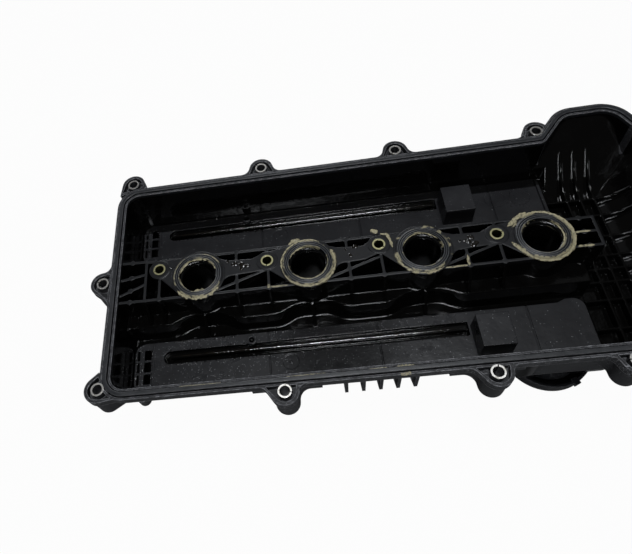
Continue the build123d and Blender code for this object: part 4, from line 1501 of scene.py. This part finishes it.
@dataclass(frozen=True)
class StripOil:
    """Drops of oil on the strips between the wells."""

    places: tuple[Place, ...] = (       # x, y and radius
        (24.4, 9.4, 1.0), (28.4, 6.0, 1.3), (36.4, 2.2, 1.6), (39.7, 3.6, 1.2), (34.1, 6.2, 1.0),
        (-23.3, 9.5, 0.9), (-16.1, -5.5, 1.0), (125.0, 9.7, 1.2), (117.7, 7.9, 0.8),
        (121.0, 2.0, 0.9), (209.5, 3.2, 1.4), (213.2, 6.4, 1.2), (215.7, 1.4, 1.5),
        (212.3, -0.8, 1.0), (204.0, 4.0, 0.8))
    z: float = -2.5
    drops_each: int = 3
    scatter: float = 0.55               # as a share of the radius

    def build(self, oil: bpy.types.Material, chance: random.Random) -> None:
        """Scatters the drops.

        Args:
            oil: Their finish.
            chance: Source of their places and shapes.
        """
        mesh = bmesh.new()
        for x, y, size in self.places:
            for _ in range(self.drops_each):
                spread = [chance.gauss(0.0, self.scatter) * size for _ in range(2)]
                place = DATUM.at(x + spread[0], y + spread[1], self.z)
                add_drop(mesh, place, size * chance.uniform(0.6, 1.4), chance)
        fit_out(finish_mesh("oil_drops", mesh, oil))


@dataclass(frozen=True)
class TroughOil:
    """Oil of one baffle plate: a run in its trough, and drops on its edges and its ladder."""

    name: str
    step: float                                         # its plate's distance from the near one
    lines: tuple[float, ...] = (-37.0, -44.3, -56.5)    # edges that drops hang on, in y
    lines_x: Spot = (-36.0, 204.0)
    drops_per_line: int = 70
    rails: tuple[Place, ...] = (                        # ladder rails: x, spread
        (-61.4, 0.2), (-56.5, 0.7), (-47.9, 0.2))
    rails_y: Spot = (-76.0, -39.0)
    drops_per_rail: int = 10
    run: tuple[Spot, ...] = ((-36.0, -48.4), (84.0, -48.6), (203.0, -48.4))
    run_z: float = -47.2
    run_width: float = 2.6
    run_height: float = 1.3
    run_seed: float = 40

    def build(self, oil: bpy.types.Material, chance: random.Random) -> None:
        """Makes the drops and the run.

        Args:
            oil: Their finish.
            chance: Source of their places and shapes.
        """
        mesh = bmesh.new()
        for y in self.lines:
            for _ in range(self.drops_per_line):
                place = DATUM.at(chance.uniform(*self.lines_x),
                                 y + self.step + chance.gauss(0, 0.2), PLATE_Z)
                add_drop(mesh, place, chance.uniform(0.25, 0.55), chance)
        for x, spread in self.rails:
            for _ in range(self.drops_per_rail):
                place = DATUM.at(chance.gauss(x, spread),
                                 chance.uniform(*self.rails_y) + self.step, PLATE_Z)
                add_drop(mesh, place, chance.uniform(0.3, 0.7), chance)
        Smear([(x, y + self.step) for x, y in self.run], self.run_width, self.run_height,
              self.run_z, self.run_seed + self.step, ragged=0.2, lumps=0.2).add_to(mesh)
        bmesh.ops.recalc_face_normals(mesh, faces=mesh.faces)
        fit_out(finish_mesh(self.name, mesh, oil, 80.0))


@dataclass(frozen=True)
class DateRings:
    """Two rings of plain dots on the far plate, where a mould has its date marks."""

    centres: tuple[Spot, ...] = ((254.9, 68.4), (275.8, 68.0))
    outer_r: float = 8.5
    outer_dot: float = 0.5
    inner_r: float = 4.6
    inner_dot: float = 0.4

    def build(self, nylon: bpy.types.Material) -> None:
        """Makes the rings.

        Args:
            nylon: The plate's finish.
        """
        mesh = bmesh.new()
        for centre in self.centres:
            for x, y in arc(centre, self.outer_r, 0, 345)[::2]:
                self.add_dot(mesh, x, y, self.outer_dot)
            for x, y in arc(centre, self.inner_r, 30, 330)[::4]:
                self.add_dot(mesh, x, y, self.inner_dot)
        fit_out(finish_mesh("mould_date_rings", mesh, nylon))

    @staticmethod
    def add_dot(mesh: bmesh.types.BMesh, x: float, y: float, radius: float) -> None:
        """Adds one raised dot.

        Args:
            mesh: The bmesh to add to.
            x: Its place along the row.
            y: Its place across the head.
            radius: Its radius in millimetres.
        """
        made = bmesh.ops.create_icosphere(mesh, subdivisions=2, radius=radius * MM)
        for vertex in made["verts"]:
            vertex.co.z *= 0.6
        bmesh.ops.translate(mesh, verts=made["verts"], vec=DATUM.at(x, y, PLATE_Z))


@dataclass(frozen=True)
class Cover:
    """The whole cover: its finishes, the copies of its nodes and what is added to them."""

    oil_seed: int = 11

    @staticmethod
    def plate_nylon(name: str, **settings: object) -> bpy.types.Material:
        """Finish of a baffle plate, oily all over.

        Args:
            name: The finish's name.
            settings: What this plate has of its own.

        Returns:
            The material.
        """
        return Nylon(name, whole_inside=True, film_rough=0.30, wet_rough=0.14, oil_cover=0.34,
                     edge_radius=0.9, pool_z=POOL_Z, **settings).material()

    def copies(self) -> list[tuple[NodeCopy, bpy.types.Material]]:
        """Makes the nodes' finishes.

        Returns:
            Each copy with its finish.
        """
        moulding = Nylon("moulded_nylon", sealant_share=0.32, scuff_and_glint_share=1.0, edge_wear_and_highlight_share=0.8)
        near = self.plate_nylon("near_baffle_nylon", wet=(0.018, 0.018, 0.0195),
                                speck_share=0.75, oily_x=104.0)
        far = self.plate_nylon("far_baffle_nylon", wet=(0.016, 0.016, 0.0177),
                               speck_share=0.12, oily_y=76.0)
        cap = Nylon("cap_nylon", dry_rough=0.45).material()
        gasket = Rubber("gasket_rubber", colour=(0.017, 0.018, 0.020), rough=0.5,
                        bloom_and_highlight_share=0.5, edge_radius=1.3)
        seal = Rubber("seal_rubber", colour=(0.036, 0.040, 0.044),
                      bloom=(0.16, 0.16, 0.155)).material()
        # The third colour of each metal is painted shade inside its hole.
        steel = Metal("sleeve_steel", (0.72, 0.70, 0.66), (0.42, 0.40, 0.35),
                      (0.20, 0.20, 0.21), SLEEVE_PROUD)
        zinc = Metal("yellow_zinc", (0.66, 0.63, 0.36), (0.36, 0.33, 0.16),
                     (0.13, 0.13, 0.05), well_sleeve_top())
        brass = Metal("insert_brass", (0.72, 0.56, 0.28), (0.38, 0.28, 0.14),
                      (0.30, 0.22, 0.10), INSERT_TOP)
        return [
            (NodeCopy("cover_shell", "cover_moulding", Slot.MOULDING), moulding.material()),
            (NodeCopy("near_baffle", "near_baffle_plate", Slot.BAFFLE), near),
            (NodeCopy("far_baffle", "far_baffle_plate", Slot.BAFFLE), far),
            (NodeCopy("perimeter_gasket", "rim_gasket", Slot.GASKET), gasket.material()),
            (NodeCopy("flange_sleeves", "rim_sleeves", Slot.STEEL), steel.material()),
            (NodeCopy("centre_sleeves", "well_sleeves", Slot.ZINC), zinc.material()),
            (NodeCopy("coil_inserts", "coil_thread_inserts", Slot.BRASS), brass.material()),
            (NodeCopy("valve_cap", "breather_lid", Slot.CAP), cap),
            (NodeCopy("valve_diaphragm", "breather_diaphragm", Slot.SEAL), seal),
            (NodeCopy("oil_filler_cap", "filler_cap_moulding", Slot.CAP, Body.CAP), cap),
            (NodeCopy("filler_cap_seal", "filler_cap_ring", Slot.SEAL, Body.CAP), seal),
        ]

    def build(self) -> None:
        """Makes every piece."""
        copies = self.copies()
        for copy, material in copies:
            copy.build(material)
        PlugSeals().build(WellSeal("well_seal_rubber").material())
        sealant = Sealant("old_sealant").material()
        for patch in SEALANT:
            patch.build(sealant)
        oil = Oil("engine_oil").material()
        chance = random.Random(self.oil_seed)
        StripOil().build(oil, chance)
        for plate in (TroughOil("near_trough_oil", 0.0), TroughOil("far_trough_oil", PLATE_STEP)):
            plate.build(oil, chance)
        far_nylon = next(material for copy, material in copies if copy.node == "far_baffle")
        DateRings().build(far_nylon)


def main() -> None:
    """Builds the stage and the cover in order."""
    logging.basicConfig(level=logging.INFO, format="%(message)s")
    bpy.context.scene.view_settings.view_transform = "Standard"
    Stage().build()
    Cover().build()


if __name__ == "__main__":
    main()
